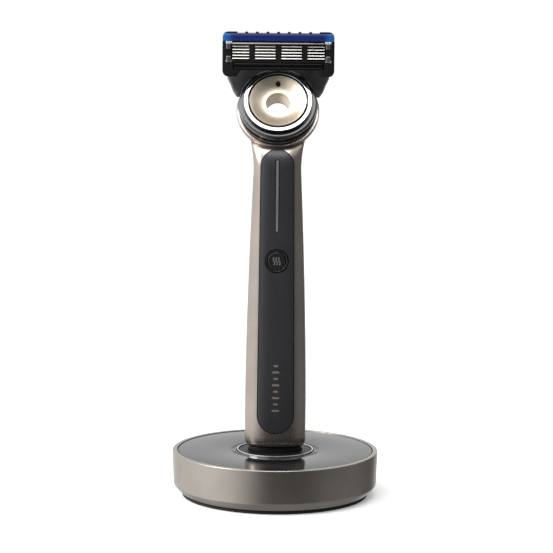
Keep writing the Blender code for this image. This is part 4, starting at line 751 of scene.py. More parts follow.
def make_dock_shell(s, n):
    low, high = span("dock_shell")
    radius, inner = high.x, high.x - s.dock_rim
    foot = radius - s.dock_taper
    ledge = span("dock_top_plate")[0].z - s.clearance
    profile = rounded([
        (radius, high.z, s.dock_edge), (foot, low.z + s.dock_chamfer, 1.4),
        (foot - s.dock_chamfer, low.z, 0.6),
        (foot - s.dock_chamfer - s.dock_rim, low.z, 0.2), (inner, low.z + s.dock_chamfer + s.dock_rim),
        (inner, ledge - s.ledge), (inner - s.ledge, ledge - s.ledge), (inner - s.ledge, ledge),
        (inner, ledge),
        (inner, high.z, s.dock_edge / 2)], 6)
    inlet_low, inlet_high = span("dock_power_inlet")
    gap = s.clearance
    mouth = block((inlet_low.x - gap, inlet_low.y, inlet_low.z - gap),
                  (inlet_high.x + gap, radius + 5, inlet_high.z + gap),
                  s.inlet_round, 4)
    piece("dock_shell_turned", turn(profile, n.round_steps), "dock", "dock", ["dock_shell"],
          cuts=[mouth])


def make_top_plate(s, n):
    low, high = span("dock_top_plate")
    rim, top, hole = high.x, high.z, span("dock_trim_ring")[1].x + s.clearance
    face = [(rim, top, 0.2), (rim, low.z), (hole, low.z), (hole, top, 0.1)]
    for start in (s.groove_first, s.groove_second):
        left, right = hole + start - s.groove_width / 2, hole + start + s.groove_width / 2
        face += [(left, top, 0.05), (left, top - s.groove_depth), (right, top - s.groove_depth),
                 (right, top, 0.05)]
    piece("top_plate_gloss", turn(rounded(face), n.round_steps), "plate", "dock", ["dock_top_plate"])
    low, high = span("dock_trim_ring")
    piece("trim_ring_polished",
          ring_shape(high.x, high.x - s.trim_width, low.z, high.z, 0.18, n.round_steps),
          "chrome", "dock", ["dock_trim_ring"])


def make_cradle(s, n):
    low, high = span("dock_cradle")
    radius = span("dock_trim_ring")[1].x - s.trim_width - s.clearance
    flange_top = span("dock_top_plate")[0].z - s.clearance
    flange_low = flange_top - s.flange
    profile = rounded([(0, high.z), (radius, high.z, 0.25), (radius, flange_top), (high.x, flange_top),
                       (high.x, flange_low), (radius, flange_low), (radius, s.boss_bottom),
                       (0, s.boss_bottom)])
    posts = []
    for name in ("dock_screw_1", "dock_screw_2", "dock_screw_3"):
        screw_low, screw_high = span(name)
        middle = (screw_low + screw_high) / 2
        bottom = span("dock_base_plate")[1].z + s.clearance + s.post_start
        posts.append((ring_shape(s.post_radius, s.screw_bore, bottom, flange_low + 0.5, 0.1, n.small_steps),
                      at(middle.x, middle.y)))
    floor = span("end_cap")[0].z - s.clearance
    sizes = [size - s.cap_inset + s.clearance for size in foot_size(s)]
    cuts = [ring_stack([(z, *sizes) for z in (floor, high.z + 1)], n.loft_sides)]
    for name in ("dock_charge_pin_left", "dock_charge_pin_right"):
        pin_low, pin_high = span(name)
        pin = (pin_low + pin_high) / 2
        cuts.append((rod(pin_high.x - pin.x + s.clearance, low.z - 1, floor + 0.5), at(pin.x, pin.y)))
    piece("cradle_moulded", turn(profile, n.round_steps), "satin", "dock", ["dock_cradle"],
          cuts=cuts, joins=posts)


def make_foot_pad(n):
    low, high = span("dock_foot_pad")
    profile = rounded([(0, high.z), (high.x, high.z, 0.2), (high.x, low.z, 0.3), (high.x - 3.0, low.z, 0.1),
                       (high.x - 3.2, low.z + 0.25, 0.1), (0, low.z + 0.25)])
    piece("foot_pad_ringed", turn(profile, n.round_steps), "rubber", "dock", ["dock_foot_pad"])


def make_power_inlet(s, n):
    low, high = span("dock_power_inlet")
    wall, middle = s.inlet_wall, (low.z + high.z) / 2
    mouth = block((low.x + wall, low.y + 1, low.z + wall), (high.x - wall, high.y + 3, high.z - wall),
                  s.inlet_round - wall / 2, 5)
    tongue = block((-3.2, low.y + 0.5, middle - 0.35), (3.2, high.y - 1, middle + 0.35), 0.12)
    made = solid("power_inlet_drawn", block(low, high, s.inlet_round, 6))
    carve(made, "DIFFERENCE", [mouth])
    carve(made, "UNION", [tongue])
    dress(made, "steel", "dock", ["dock_power_inlet"])


# --- Handle --------------------------------------------------------------------------------------

def foot_size(s):
    """The handle's half width and depths just above the rounding of its foot."""
    foot = span("handle_shell")[0].z
    return handle_size(s, foot + s.foot_round_rise, foot)


def make_handle_shell(s, n):
    foot = span("handle_shell")[0].z
    waist = foot + s.waist_rise
    front, back = -s.plate_front, -s.plate_front - s.plate_thickness
    plate = ring_shape(s.plate_radius, s.plate_hole, back, front, 0.45, n.round_steps)
    made = solid("handle_casting", handle_body(s, n, 0, foot, waist + s.neck_rise))
    carve(made, "UNION", [(plate, HEAD)])
    bores = []
    for name in ("head_contact_pin_left", "head_contact_pin_right"):
        low, high = span(name)
        pin = HEAD.inverted() @ ((low + high) / 2)
        bores.append((rod(s.contact_bore, pin.z - 1.2, pin.z + 2), HEAD @ at(pin.x, pin.y)))
    ribbon_low, ribbon_high = span("flex_cable")
    duct = block((ribbon_low.x - 1.2, -0.9, waist + s.cavity_above - 1),
                 (ribbon_high.x + 1.2, 1.9, ribbon_high.z + 1.8),
                 0.3)
    carve(made, "DIFFERENCE", [
        handle_body(s, n, s.wall, foot - 1, waist + s.cavity_above),
        slab(panel_outline(s, foot, 0), -2 * s.belly_depth, span("front_panel")[1].y, "Y"), duct, *bores])
    dress(made, "handle", "handle", ["handle_shell"])


def button_frame():
    """A frame on the power button's face, with its Z pointing out of it."""
    low, high = span("power_button")
    return at(0, low.y, (low.z + high.z) / 2) @ TO_FRONT


def make_front_panel(s, n):
    foot = span("handle_shell")[0].z
    bezel_high = span("button_bezel")[1]
    bar_low, bar_high = span("light_bar")
    made = front_skin(s, n, "front_panel_moulded", panel_outline(s, foot, s.clearance), "panel", "handle",
                      ["front_panel"], s.panel_sink, s.panel_thickness)
    half = bar_high.x + s.clearance
    slot = stadium(bar_low.z - s.clearance, bar_high.z + s.clearance, half, half, 12)
    carve(made, "DIFFERENCE", [(rod(bezel_high.x + s.clearance, -4, 9, n.small_steps), button_frame()),
                               slab(slot, -2 * s.belly_depth, bar_high.y + 1, "Y")])
    dress(made, "panel", "handle")
    outline = stadium(bar_low.z, bar_high.z, bar_high.x, bar_high.x, 12)
    front_skin(s, n, "light_bar_milky", outline, "light", "handle", ["light_bar"],
               s.panel_sink, s.panel_thickness)


def make_panel_marks(s, n):
    """A column of short printed dashes near the panel's foot."""
    low = span("front_panel")[0].z + s.mark_rise
    dashes = []
    for i in range(n.mark_dashes):
        half = s.mark_half_width * (1.0, 0.62)[i % 2]
        z = low + s.mark_length * i / (n.mark_dashes - 1)
        dashes.append(slab(rounded([(-half, z, 0.2), (half, z, 0.2), (half, z + 0.75, 0.2),
                                    (-half, z + 0.75, 0.2)]),
                           -2 * s.belly_depth, 0, "Y"))
    prism = dashes[0]
    for extra in dashes[1:]:
        mesh = bpy.data.meshes.new("dash")
        extra.to_mesh(mesh)
        extra.free()
        prism.from_mesh(mesh)
    foot = span("handle_shell")[0].z
    top = low + s.mark_length + 5
    made = solid("panel_marks", handle_body(s, n, s.panel_sink - s.print_height, foot, top))
    carve(made, "INTERSECT", [prism])
    carve(made, "DIFFERENCE", [handle_body(s, n, s.panel_sink, foot + 1, top - 1)])
    dress(made, "print", "handle")


def make_power_button(s, n):
    place = button_frame()
    low, high = span("button_bezel")
    outer, depth = high.x, high.y - low.y
    radius = span("power_button")[1].x
    inner = radius + s.clearance
    bezel = rounded([(outer, 0.02, 0.25), (outer, -depth), (inner, -depth), (inner, -0.1, 0.15)], 4)
    piece("button_bezel_turned", turn(bezel, n.small_steps * 2), "gloss", "handle", ["button_bezel"],
          place)
    stem = span("power_button")[1].y - span("power_button")[0].y
    cap = rounded([(0, -0.12), (radius * 0.6, -0.09), (radius, 0.0, 0.3), (radius, -s.button_cap),
                   (s.stem_radius, -s.button_cap),
                   (s.stem_radius, -stem), (0, -stem)], 4)
    piece("power_button_turned", turn(cap, n.small_steps * 2), "gloss", "button", ["power_button"],
          place)
    made = solid("button_heat_mark", slab(wave(s, -s.icon_width / 3), -0.12, 0.0, "Z"), place)
    for shift in (0, s.icon_width / 3):
        carve(made, "UNION", [(slab(wave(s, shift), -0.12, 0.0, "Z"), place)])
    dress(made, "mark", "button")


def wave(s, shift):
    """The outline of one rising wave of heat."""
    steps, half = 24, s.icon_line / 2
    middle = [(shift + 0.28 * math.sin(2 * math.pi * i / steps), s.icon_width * (i / steps - 0.5))
              for i in range(steps + 1)]
    return [(x + half, z) for x, z in middle] + [(x - half, z) for x, z in reversed(middle)]


def make_end_cap(s, n):
    low, high = span("end_cap")
    shoulder = span("handle_shell")[0].z - s.clearance
    sizes = foot_size(s)
    plug = s.wall + s.clearance + 0.1 + s.foot_round
    seal_low, seal_high = span("end_cap_seal")
    levels = [(low.z, s.cap_inset + 0.3), (low.z + 0.1, s.cap_inset + 0.09), (low.z + 0.3, s.cap_inset),
              (shoulder - 0.2, s.cap_inset), (shoulder - 0.05, s.cap_inset + 0.06),
              (shoulder, s.cap_inset + 0.2),
              (shoulder, plug), (seal_low.z - s.clearance, plug), (seal_low.z - s.clearance, plug + 0.5),
              (seal_high.z + s.clearance, plug + 0.5), (seal_high.z + s.clearance, plug), (high.z, plug)]
    cuts = []
    for name in ("charge_pad_left", "charge_pad_right"):
        pad_low, pad_high = span(name)
        pad = (pad_low + pad_high) / 2
        cuts.append((rod(pad_high.x - pad.x + s.clearance, low.z - 1, high.z + 1), at(pad.x, pad.y)))
    piece("end_cap_moulded",
          ring_stack([(z, *[size - inset for size in sizes]) for z, inset in levels], n.loft_sides),
          "satin", "handle", ["end_cap"], cuts=cuts)


# --- Turning disc in the head --------------------------------------------------------------------

def dish_height(s, radius):
    """How deep the dish's front face lies at a radius: a bowl down to its hole."""
    inward = (s.dish_radius - radius) / (s.dish_radius - s.hole_radius)
    return -s.dish_rim - s.dish_sink * math.sin(math.radians(90 * inward)) ** 1.2


def magnet_bores(s):
    bores = []
    for name in ("holding_magnet_left", "holding_magnet_right"):
        low, high = span(name)
        middle = HEAD.inverted() @ ((low + high) / 2)
        radius = (high.x - low.x) / 2 + s.clearance
        bores.append((rod(radius, -1.2, 8), HEAD @ at(middle.x, middle.y, middle.z) @ Matrix.Rotation(
            math.radians(-90), 4, "X")))
    return bores


def make_disc(s, n):
    front, back, gap = -s.disc_front, -s.disc_back, s.clearance
    hub = s.hole_radius + s.hub_wall
    ring_back = s.chrome_proud - s.chrome_thickness
    seat = ring_back - gap
    dish_back = -s.dish_rim - s.dish_sink - s.dish_thickness
    half = s.tongue / 2 + gap
    groove = s.disc_radius - s.tongue_depth
    profile = rounded([
        (s.disc_radius, front, 0.8), (s.disc_radius, -s.tongue_middle + half, 0.08),
        (groove, -s.tongue_middle + half),
        (groove, -s.tongue_middle - half), (s.disc_radius, -s.tongue_middle - half, 0.08),
        (s.disc_radius, back, 0.25), (s.spring_groove + 1, back), (s.spring_groove + 1, back + 1.05),
        (s.spring_groove - 1, back + 1.05), (s.spring_groove - 1, back), (hub + gap, back),
        (hub + gap, dish_back - gap), (s.dish_radius + 0.1, seat), (s.chrome_outer + gap, seat),
        (s.chrome_outer + gap, front, 0.1)], 6)
    piece("pivot_disc", turn(profile, n.round_steps), "gloss", "disc", ["pivot_ring"], HEAD,
          cuts=magnet_bores(s))
    piece("chrome_bezel",
          ring_shape(s.chrome_outer, s.chrome_inner, ring_back, s.chrome_proud, 0.3, n.round_steps),
          "chrome", "disc", ["chrome_ring"], HEAD)


def make_dish(s, n):
    steps = 40
    reach = s.dish_radius - 0.15 - s.hole_radius
    radii = [s.hole_radius + 0.12 + reach * i / steps for i in range(steps + 1)]
    deep = -s.dish_rim - s.dish_sink
    back = deep - s.dish_thickness
    profile = [(s.hole_radius, deep - 0.12)]
    profile += [(radius, dish_height(s, radius)) for radius in radii if radius < s.dish_radius]
    profile += [(s.dish_radius, -s.dish_rim - 0.1), (s.dish_radius, -s.dish_rim - s.dish_thickness),
                (s.hole_radius + 1.2, back), (s.hole_radius, back)]
    place = HEAD @ at(0, s.dimple_out, 0)
    floor = dish_height(s, s.dimple_out) - s.dimple_depth
    piece("dish_turned", turn(profile, n.round_steps), "gold", "disc", ["gold_dish"], HEAD,
          cuts=[(rod(s.dimple_radius, floor, 3), place)])
    dot = rounded([(0, floor + 0.3), (s.dimple_radius - 0.03, floor + 0.3, 0.1),
                   (s.dimple_radius - 0.03, floor + 0.02),
                   (0, floor + 0.02)])
    piece("dimple_lens", turn(dot, n.small_steps), "gloss", "disc", matrix=place)


def make_hub(s, n):
    hub = s.hole_radius + s.hub_wall
    front = -s.dish_rim - s.dish_sink - s.dish_thickness - s.clearance
    cap = -s.plate_front - s.plate_thickness - s.clearance
    piece("hub_sleeve", ring_shape(hub, s.hole_radius, cap + 0.1, front, 0.12, n.small_steps * 2), "gold",
          "disc",
          ["hub_tube"], HEAD)
    low = cap - s.cap_thickness
    profile = rounded([(hub + 0.2, cap - 0.2), (s.rear_cap_radius, cap - 0.2, 0.4),
                       (s.rear_cap_radius - 0.1, low, 0.5),
                       (s.hole_radius + 1, low, 0.3), (s.hole_radius, cap - 0.2)], 5)
    piece("rear_cap_turned", turn(profile, n.small_steps * 2), "gloss", "disc", ["rear_cap"],
          HEAD)


# --- Yoke ----------------------------------------------------------------------------------------

def make_yoke(s, n):
    inner = s.disc_radius + s.clearance
    rise = math.degrees(math.asin(s.wing_tip_rise / inner))
    top, shoulder = s.yoke_top, s.yoke_shoulder
    right = [(s.wing_tip, s.wing_tip_rise, 0.6), (s.wing_waist, s.wing_waist_rise, 4.0),
             (s.wing_hip, s.wing_hip_rise, 5.0), (shoulder, s.shoulder_rise, 3.0), (shoulder, top, 2.2)]
    left = [(-x, v, radius) for x, v, radius in reversed(right)]
    outline = rounded(right + left, 8)
    made = solid("yoke_moulded", slab(outline, -s.yoke_back, -s.yoke_front, "Z", s.yoke_edge, 3), HEAD)
    carve(made, "DIFFERENCE", [(rod(inner, -s.yoke_back - 1, -s.yoke_front + 1, n.round_steps), HEAD)])
    tongue = slab(arc((0, 0), inner - s.tongue_depth, rise, 180 - rise, 64)
                  + arc((0, 0), inner + 0.5, 180 - rise, rise, 64),
                  -s.tongue_middle - s.tongue / 2, -s.tongue_middle + s.tongue / 2, "Z", 0.12)
    joins = [(tongue, HEAD)]
    pivot = HEAD.inverted() @ PIVOT
    reach = math.degrees(math.atan2(pivot.z + s.yoke_front, pivot.y - (top - 2)))
    for side in (-1, 1):
        low, high = sorted((side * s.arm_in, side * s.arm_out))
        foot = [(top - 4.2, -s.yoke_back + 0.5), (top - 0.4, -s.yoke_back + 0.5)]
        knuckle = arc((pivot.y, pivot.z), s.boss_radius, reach - 75, reach + 75, 18)
        joins.append((slab(foot + knuckle, low, high, "X", 0.25), HEAD))
    plunger_low, plunger_high = span("pivot_plunger")
    axis = (plunger_low.z + plunger_high.z) / 2
    tower_back = span("plunger_spring")[1].y + s.clearance + 0.6
    joins.append(block((-s.tower, s.tower_front, PIVOT.z - 4.6), (s.tower, tower_back, plunger_high.z + 0.9),
                       0.35, 3))
    carve(made, "UNION", joins)
    bore = plunger_high.x + s.clearance
    carve(made, "DIFFERENCE", [
        (rod(s.pin_bore, -s.arm_out - 2, s.arm_out + 2, n.small_steps),
         at(*PIVOT) @ Matrix.Rotation(math.radians(90), 4, "Y")),
        (rod(bore, s.tower_front - tower_back + 0.6, 2, n.small_steps),
         at(0, s.tower_front, axis) @ TO_FRONT)])
    dress(made, "yoke", "yoke", ["yoke"])


def make_pivot(n):
    for name in ("pivot_pin_left", "pivot_pin_right"):
        low, high = span(name)
        radius = (high.z - low.z) / 2
        profile = rounded([(0, high.x - low.x), (radius, high.x - low.x, 0.2), (radius, 0, 0.2), (0, 0)], 4)
        piece(name + "_ground", turn(profile, n.small_steps), "steel", "yoke", [name],
              at(low.x, PIVOT.y, PIVOT.z) @ Matrix.Rotation(math.radians(90), 4, "Y"))
    low, high = span("pivot_plunger")
    radius, tail = high.x, high.y - low.y
    dome = arc((0, -radius), radius, 90, 0, 14)
    piece("pivot_plunger_domed",
          turn(dome + [(radius, 0.2 - tail), (radius - 0.2, -tail), (0, -tail)], n.small_steps), "satin",
          "plunger", ["pivot_plunger"], at(0, low.y, (low.z + high.z) / 2) @ TO_FRONT)


# --- Cartridge: heights count from its pivot -----------------------------------------------------

def raised(points):
    """Points of a front or side outline, lifted to the cartridge's pivot."""
    return [(first, PIVOT.z + second, *rest) for first, second, *rest in points]


def cell(xs, ys, zs, edge=0.0, segments=2):
    """A block whose heights count from the cartridge's pivot."""
    return block((xs[0], ys[0], PIVOT.z + zs[0]), (xs[1], ys[1], PIVOT.z + zs[1]), edge, segments)


def rises(node):
    """A node's box with its heights counted from the cartridge's pivot."""
    low, high = span(node)
    return low - Vector((0, 0, PIVOT.z)), high - Vector((0, 0, PIVOT.z))


def housing_outline(s, low, high):
    """The cartridge from the front, with an ear that drops at each lower corner."""
    half = high.x
    body_low = low.z + s.ear_drop
    inner_ear = half - s.ear_width
    right = [(inner_ear - 1.6, body_low, 0.5), (inner_ear, low.z, 0.8), (half, low.z, 2.6),
             (half, high.z, 2.2)]
    return right + [(-x, z, radius) for x, z, radius in reversed(right)]


def window_cuts(s, front, back):
    """What opens the blade window, with its struts left standing."""
    half, low, high = s.window_half, -s.window_below, s.window_above
    stops = [-half]
    for side in (-1, 0, 1):
        stops += [side * s.strut_spacing - s.strut_width / 2, side * s.strut_spacing + s.strut_width / 2]
    stops.append(half)
    cuts = [cell((left, right), (front - 2, front + s.strut_depth + 1), (low, high))
            for left, right in zip(stops[::2], stops[1::2])]
    return cuts + [cell((-half, half), (front + s.strut_depth, back - 1.3), (low, high))]


def make_housing(s, n):
    low, high = rises("cartridge_housing")
    front, gap = rises("blade_1")[0].y + 0.05, s.clearance
    back = span("clip_left")[1].y - s.clip_sheet - gap
    strip_low, strip_high = rises("lubrication_strip")
    bar_low, bar_high = rises("warming_bar")
    heater_low, heater_high = rises("heater")
    body_low = low.z + s.ear_drop
    made = solid("cartridge_frame",
                 slab(rounded(raised(housing_outline(s, low, high)), 8), front, back, "Y", 0.3, 3))
    carve(made, "DIFFERENCE", window_cuts(s, front, back))
    wide = high.x + 5
    carve(made, "DIFFERENCE",
          [cell((-wide, wide), (front - 2, strip_high.y + gap), (strip_low.z - gap, high.z + 3))])
    carve(made, "DIFFERENCE",
          [cell((bar_low.x - 2 * gap, bar_high.x + 2 * gap), (front - 2, bar_high.y + gap),
                                    (body_low + gap, bar_high.z + gap))])
    carve(made, "DIFFERENCE", [cell((heater_low.x - gap, heater_high.x + gap), (front, heater_high.y + gap),
                                    (bar_low.z, bar_high.z))])
    for side in (-1, 1):
        carve_side(s, made, side, front, back)
    carve(made, "DIFFERENCE", [(rod(s.pin_bore, -s.arm_out - 3, s.arm_out + 3), at(*PIVOT) @ Matrix.Rotation(
        math.radians(90), 4, "Y"))])
    slots = []
    for i in range(n.comb_slots):
        x = (i - (n.comb_slots - 1) / 2) * s.comb_pitch
        slots.append(cell((x - s.comb_slot / 2, x + s.comb_slot / 2), (strip_high.y - 1, back + 2),
                          (high.z - s.comb_depth, high.z + 2), 0.15))
    trimmer_low, trimmer_high = rises("trimmer_blade")
    slots.append(cell((trimmer_low.x - gap, trimmer_high.x + gap),
                      (trimmer_low.y - gap, trimmer_high.y + gap),
                      (trimmer_low.z - gap, high.z + 2)))
    carve(made, "DIFFERENCE", slots)
    dress(made, "satin", "cartridge", ["cartridge_housing"])


def carve_side(s, made, side, front, back):
    """One side's clip notches and pair of pivot lugs."""
    gap = s.clearance
    clip_low, clip_high = rises("clip_left" if side < 0 else "clip_right")
    sheet = s.clip_sheet
    notches = [cell((clip_low.x - gap, clip_high.x + gap), (front - 2, back + 2), (z - gap, z + sheet + gap))
               for z in (clip_high.z - sheet, clip_low.z)]
    carve(made, "DIFFERENCE", notches)
    lugs = []
    radius = s.boss_radius
    for inner in (s.arm_in - gap - s.lug, s.arm_out + gap):
        low, high = sorted((side * inner, side * (inner + s.lug)))
        nose = [(PIVOT.y + y, PIVOT.z + z) for y, z in arc((0, 0), radius, -90, 90, 18)]
        outline = [(back - 0.6, PIVOT.z - radius)] + nose + [(back - 0.6, PIVOT.z + radius)]
        lugs.append(slab(outline, low, high, "X", 0.15))
    carve(made, "UNION", lugs)
    xs = sorted((side * (s.arm_in - gap), side * (s.arm_out + gap)))
    carve(made, "DIFFERENCE", [cell(xs, (PIVOT.y - radius - gap, back + 2), (-radius - gap, radius + gap))])


def make_blades(s, n):
    for i in range(n.blades):
        node = "blade_" + str(i + 1)
        low, high = span(node)
        edge, bend, base = low.y, low.y + 0.3, low.z + 0.02
        top, sheet = base + s.blade_face, s.blade_sheet
        outline = rounded([(edge, base), (bend, top, 0.12), (high.y, top), (high.y, top - sheet),
                           (bend + 0.07, top - sheet, 0.1), (edge + 0.09, base)], 4)
        cuts = []
        for side in (-1, 0, 1):
            half = s.strut_width / 2 + s.clearance
            cuts.append(block((side * s.strut_spacing - half, edge - 1, base - 1),
                              (side * s.strut_spacing + half, edge + s.strut_depth + s.clearance, base + 2)))
        piece(node + "_ground", slab(outline, low.x, high.x, "X"), "blade", "cartridge", [node],
              cuts=cuts)


def make_cartridge_trim():
    low, high = span("cap_rail")
    rail = rounded([(high.y, low.z), (low.y, low.z, 0.1), (low.y, high.z, 0.12), (high.y, high.z)], 5)
    piece("cap_rail_rolled", slab(rail, low.x, high.x, "X", 0.05), "blade", "cartridge", ["cap_rail"])
    low, high = span("trimmer_blade")
    middle = (low.y + high.y) / 2
    wedge = [(low.y, low.z), (high.y, low.z), (high.y, high.z - 0.9), (middle + 0.03, high.z),
             (middle - 0.03, high.z),
             (low.y, high.z - 0.9)]
    piece("trimmer_blade_ground", slab(wedge, low.x, high.x, "X"), "blade", "cartridge", ["trimmer_blade"])
    low, high = span("warming_bar")
    bar = rounded([(high.y, low.z, 0.2), (low.y, low.z, 0.45), (low.y, high.z, 0.45), (high.y, high.z, 0.2)],
                  8)
    piece("warming_bar_drawn", slab(bar, low.x, high.x, "X", 0.15, 3), "bar", "cartridge", ["warming_bar"])
    low, high = span("lubrication_strip")
    strip = rounded([(high.y, low.z, 0.9), (low.y, low.z, 0.9), (low.y, high.z, 0.95),
                     (high.y, high.z, 0.9)], 8)
    piece("lubrication_strip_wax", slab(strip, low.x, high.x, "X", 0.6, 5), "strip", "cartridge",
          ["lubrication_strip"])


def make_guard(s, n):
    """A rubber bar whose front is a row of fine fins."""
    low, high = span("guard_fins")
    pitch = (high.x - low.x) / n.guard_fins
    outline = [(high.x, high.y), (low.x, high.y)]
    for i in range(n.guard_fins):
        left = low.x + pitch * (i + 0.2)
        outline += [(left, low.y + s.fin_depth), (left, low.y), (left + pitch * 0.6, low.y),
                    (left + pitch * 0.6, low.y + s.fin_depth)]
    piece("guard_fins_moulded", slab(outline, low.z, high.z, "Z", 0.06), "rubber", "cartridge",
          ["guard_fins"])


def make_clips(s):
    sheet = s.clip_sheet
    for name in ("clip_left", "clip_right"):
        low, high = span(name)
        front, back, turn_in = low.y + sheet, high.y - sheet, 0.25
        outline = [(low.y, high.z, 0.3), (low.y, high.z - s.clip_pad, 0.1),
                   (front, high.z - s.clip_pad, 0.1),
                   (front, high.z - sheet, 0.08), (back, high.z - sheet, turn_in),
                   (back, low.z + sheet, turn_in),
                   (front, low.z + sheet, 0.08), (front, low.z + s.clip_pad, 0.1),
                   (low.y, low.z + s.clip_pad, 0.1),
                   (low.y, low.z, 0.3), (high.y, low.z, 0.4), (high.y, high.z, 0.4)]
        piece(name + "_bent", slab(rounded(outline, 5), low.x, high.x, "X", 0.04), "chrome", "cartridge",
              [name])


# --- Pieces inside, which keep their frame shapes ------------------------------------------------

def finish_inside():
    looks = {
        "steel": ("dock_ballast", "dock_screw_1", "dock_screw_2", "dock_screw_3", "centering_spring",
                  "plunger_spring", "holding_magnet_left", "holding_magnet_right"),
        "satin": ("dock_base_plate", "chassis", "tact_switch"),
        "rubber": ("button_seal", "end_cap_seal"),
        "board": ("dock_circuit_board", "main_board"),
        "brass": ("dock_charge_pin_left", "dock_charge_pin_right", "charge_pad_left", "charge_pad_right",
                  "head_contact_pin_left", "head_contact_pin_right"),
        "cell": ("battery",),
        "light": ("led_strip",),
        "ribbon": ("flex_cable", "heater"),
    }
    for look, nodes in looks.items():
        for node in nodes:
            target = frame["nodes"][node]
            target.data.materials.clear()
            target.data.materials.append(finish(look))


# --- Stage ---------------------------------------------------------------------------------------

def make_stage(stage, colours):
    floor = solid("floor", slab([(-1500, -1500), (1500, -1500), (1500, 1500), (-1500, 1500)], -2, 0, "Z"))
    paper = Finish("paper_floor", roughness=0.9, specular=0.1)
    where, _ = paper.place()
    fibres = paper.noise(where, 0.8, 4.0)
    paper.set(base_color=paper.mix(fibres, shaded(colours.floor, 0.99), shaded(colours.floor, 1.01)),
              emission_color=(1.0, 1.0, 1.0, 1.0), emission_strength=stage.floor_glow)
    floor.data.materials.append(paper.material)
    floor.visible_glossy = False

    camera = bpy.data.objects.new("camera", bpy.data.cameras.new("camera"))
    bpy.context.scene.collection.objects.link(camera)
    bpy.context.scene.camera = camera
    camera.data.lens = stage.lens
    place = Vector((0, -stage.distance, stage.camera_height))
    view = (Vector((0, 0, stage.aim_height)) - place).to_track_quat("-Z", "Y").to_matrix().to_4x4()
    camera.matrix_world = Matrix.Translation(place) @ view @ Matrix.Rotation(stage.roll, 4, "Z")

    panel("key_light", stage.key_power, (0.6, 0.9), (-1.0, -0.35, 0.75), (0, 0, 0.06))
    panel("top_light", stage.top_power, (0.9, 0.7), (-0.1, -0.65, 1.15), (0, 0, 0.12))

    world = bpy.context.scene.world or bpy.data.worlds.new("studio")
    bpy.context.scene.world = world
    world.use_nodes = True
    room = Shader(world.node_tree)
    direction = room.node("ShaderNodeTexCoord", {}, {}).outputs["Generated"]
    x, y, z = [Number(room, socket) for socket in
               room.node("ShaderNodeSeparateXYZ", {}, {"Vector": direction}).outputs]
    left = (0 - x).smooth(0.1, 0.9)
    right = x.smooth(0.5, 0.95)
    behind = y.smooth(0.75, 0.97)
    above = z.smooth(0.3, 0.85)
    below = (0 - z).smooth(0.2, 0.8)
    glow = (stage.room_dark + left * stage.room_left + right * stage.room_right + behind * stage.room_behind
            + above * stage.room_above + below * stage.room_below)
    seen = Number(room, room.node("ShaderNodeLightPath", {}, {}).outputs["Is Camera Ray"])
    level = glow * (1 - seen) + seen * stage.backdrop
    back = world.node_tree.nodes["Background"]
    room.feed(back.inputs["Strength"], level)
    back.inputs["Color"].default_value = (1.0, 1.0, 1.0, 1.0)
    bpy.context.scene.view_settings.view_transform = "Standard"


def panel(name, power, size, place, target):
    """A rectangular soft light that faces a target."""
    light = bpy.data.lights.new(name, "AREA")
    light.shape = "RECTANGLE"
    light.size, light.size_y = size
    light.energy = power
    made = bpy.data.objects.new(name, light)
    bpy.context.scene.collection.objects.link(made)
    place = Vector(place)
    made.matrix_world = Matrix.Translation(place) @ (Vector(target) - place).to_track_quat(
        "-Z", "Y").to_matrix().to_4x4()
    return made


# --- Operators -----------------------------------------------------------------------------------

def choices(context):
    scene = context.scene
    return in_millimetres(scene.razor_sizes), scene.razor_counts


class RAZOR_OT_finishes(bpy.types.Operator):
    """Make every material of the razor and the dock"""
    bl_idname = "razor.finishes"
    bl_label = "Finishes"

    def execute(self, context):
        FINISHES.clear()
        FINISHES.update(make_finishes(context.scene.razor_colours))
        return {"FINISHED"}


class RAZOR_OT_stage(bpy.types.Operator):
    """Set up the floor, the camera and the studio lights"""
    bl_idname = "razor.stage"
    bl_label = "Stage"

    def execute(self, context):
        make_stage(context.scene.razor_stage, context.scene.razor_colours)
        return {"FINISHED"}


class RAZOR_OT_dock(bpy.types.Operator):
    """Model the dock's casing, top plate, trim ring, cradle and foot pad"""
    bl_idname = "razor.dock"
    bl_label = "Dock"

    def execute(self, context):
        s, n = choices(context)
        make_dock_shell(s, n)
        make_top_plate(s, n)
        make_cradle(s, n)
        make_foot_pad(n)
        return {"FINISHED"}


class RAZOR_OT_power_inlet(bpy.types.Operator):
    """Model the power inlet at the back of the dock"""
    bl_idname = "razor.power_inlet"
    bl_label = "Power Inlet"

    def execute(self, context):
        make_power_inlet(*choices(context))
        return {"FINISHED"}


class RAZOR_OT_handle(bpy.types.Operator):
    """Model the handle's metal casting with its head plate, and its black foot"""
    bl_idname = "razor.handle"
    bl_label = "Handle"

    def execute(self, context):
        s, n = choices(context)
        make_handle_shell(s, n)
        make_end_cap(s, n)
        return {"FINISHED"}


class RAZOR_OT_front_panel(bpy.types.Operator):
    """Model the front panel, its light bar and its printed dashes"""
    bl_idname = "razor.front_panel"
    bl_label = "Front Panel"

    def execute(self, context):
        s, n = choices(context)
        make_front_panel(s, n)
        make_panel_marks(s, n)
        return {"FINISHED"}


class RAZOR_OT_power_button(bpy.types.Operator):
    """Model the power button, its bezel and its heat mark"""
    bl_idname = "razor.power_button"
    bl_label = "Power Button"

    def execute(self, context):
        make_power_button(*choices(context))
        return {"FINISHED"}


class RAZOR_OT_disc(bpy.types.Operator):
    """Model the turning disc with its chrome ring, gold dish and hub"""
    bl_idname = "razor.disc"
    bl_label = "Disc"

    def execute(self, context):
        s, n = choices(context)
        make_disc(s, n)
        make_dish(s, n)
        make_hub(s, n)
        return {"FINISHED"}


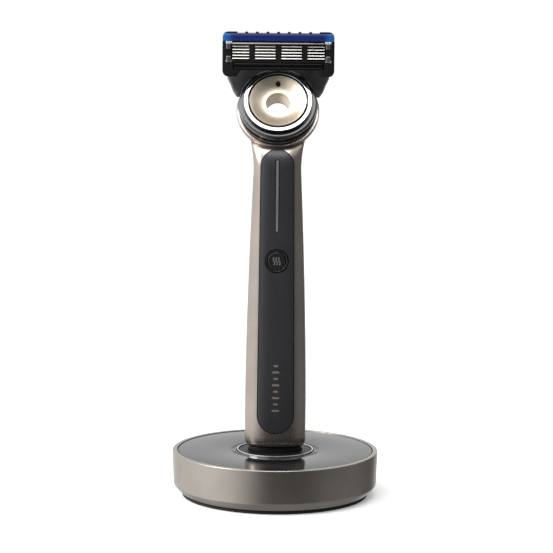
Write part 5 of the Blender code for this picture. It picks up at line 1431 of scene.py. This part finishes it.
class RAZOR_OT_yoke(bpy.types.Operator):
    """Model the yoke, its pivot pins and its plunger"""
    bl_idname = "razor.yoke"
    bl_label = "Yoke"

    def execute(self, context):
        s, n = choices(context)
        make_yoke(s, n)
        make_pivot(n)
        return {"FINISHED"}


class RAZOR_OT_cartridge(bpy.types.Operator):
    """Model the cartridge's frame, blades, clips, guard and strips"""
    bl_idname = "razor.cartridge"
    bl_label = "Cartridge"

    def execute(self, context):
        s, n = choices(context)
        make_housing(s, n)
        make_blades(s, n)
        make_cartridge_trim()
        make_guard(s, n)
        make_clips(s)
        return {"FINISHED"}


class RAZOR_OT_inside(bpy.types.Operator):
    """Give the pieces inside their materials"""
    bl_idname = "razor.inside"
    bl_label = "Inside Pieces"

    def execute(self, context):
        finish_inside()
        return {"FINISHED"}


STEPS = (RAZOR_OT_finishes, RAZOR_OT_stage, RAZOR_OT_dock, RAZOR_OT_power_inlet, RAZOR_OT_handle,
         RAZOR_OT_front_panel, RAZOR_OT_power_button, RAZOR_OT_disc, RAZOR_OT_yoke, RAZOR_OT_cartridge,
         RAZOR_OT_inside)


class RAZOR_PT_steps(bpy.types.Panel):
    """The razor's settings and the steps that make it"""
    bl_idname = "RAZOR_PT_steps"
    bl_label = "Heated Razor"
    bl_space_type = "VIEW_3D"
    bl_region_type = "UI"
    bl_category = "Razor"

    def draw(self, context):
        for step in STEPS:
            self.layout.operator(step.bl_idname)
        for group in (context.scene.razor_sizes, context.scene.razor_counts, context.scene.razor_colours,
                      context.scene.razor_stage):
            box = self.layout.box()
            for name in group.bl_rna.properties.keys():
                if name not in ("rna_type", "name"):
                    box.prop(group, name)


GROUPS = {"razor_sizes": RazorSizes, "razor_counts": RazorCounts, "razor_colours": RazorColours,
          "razor_stage": RazorStage}


def register():
    for group in GROUPS.values():
        bpy.utils.register_class(group)
    for step in (*STEPS, RAZOR_PT_steps):
        bpy.utils.register_class(step)
    for name, group in GROUPS.items():
        setattr(bpy.types.Scene, name, PointerProperty(type=group))


def unregister():
    for name in GROUPS:
        delattr(bpy.types.Scene, name)
    for step in (RAZOR_PT_steps, *reversed(STEPS)):
        bpy.utils.unregister_class(step)
    for group in reversed(GROUPS.values()):
        bpy.utils.unregister_class(group)


def main():
    register()
    for step in STEPS:
        category, name = step.bl_idname.split(".")
        getattr(getattr(bpy.ops, category), name)()


if __name__ == "__main__":
    main()
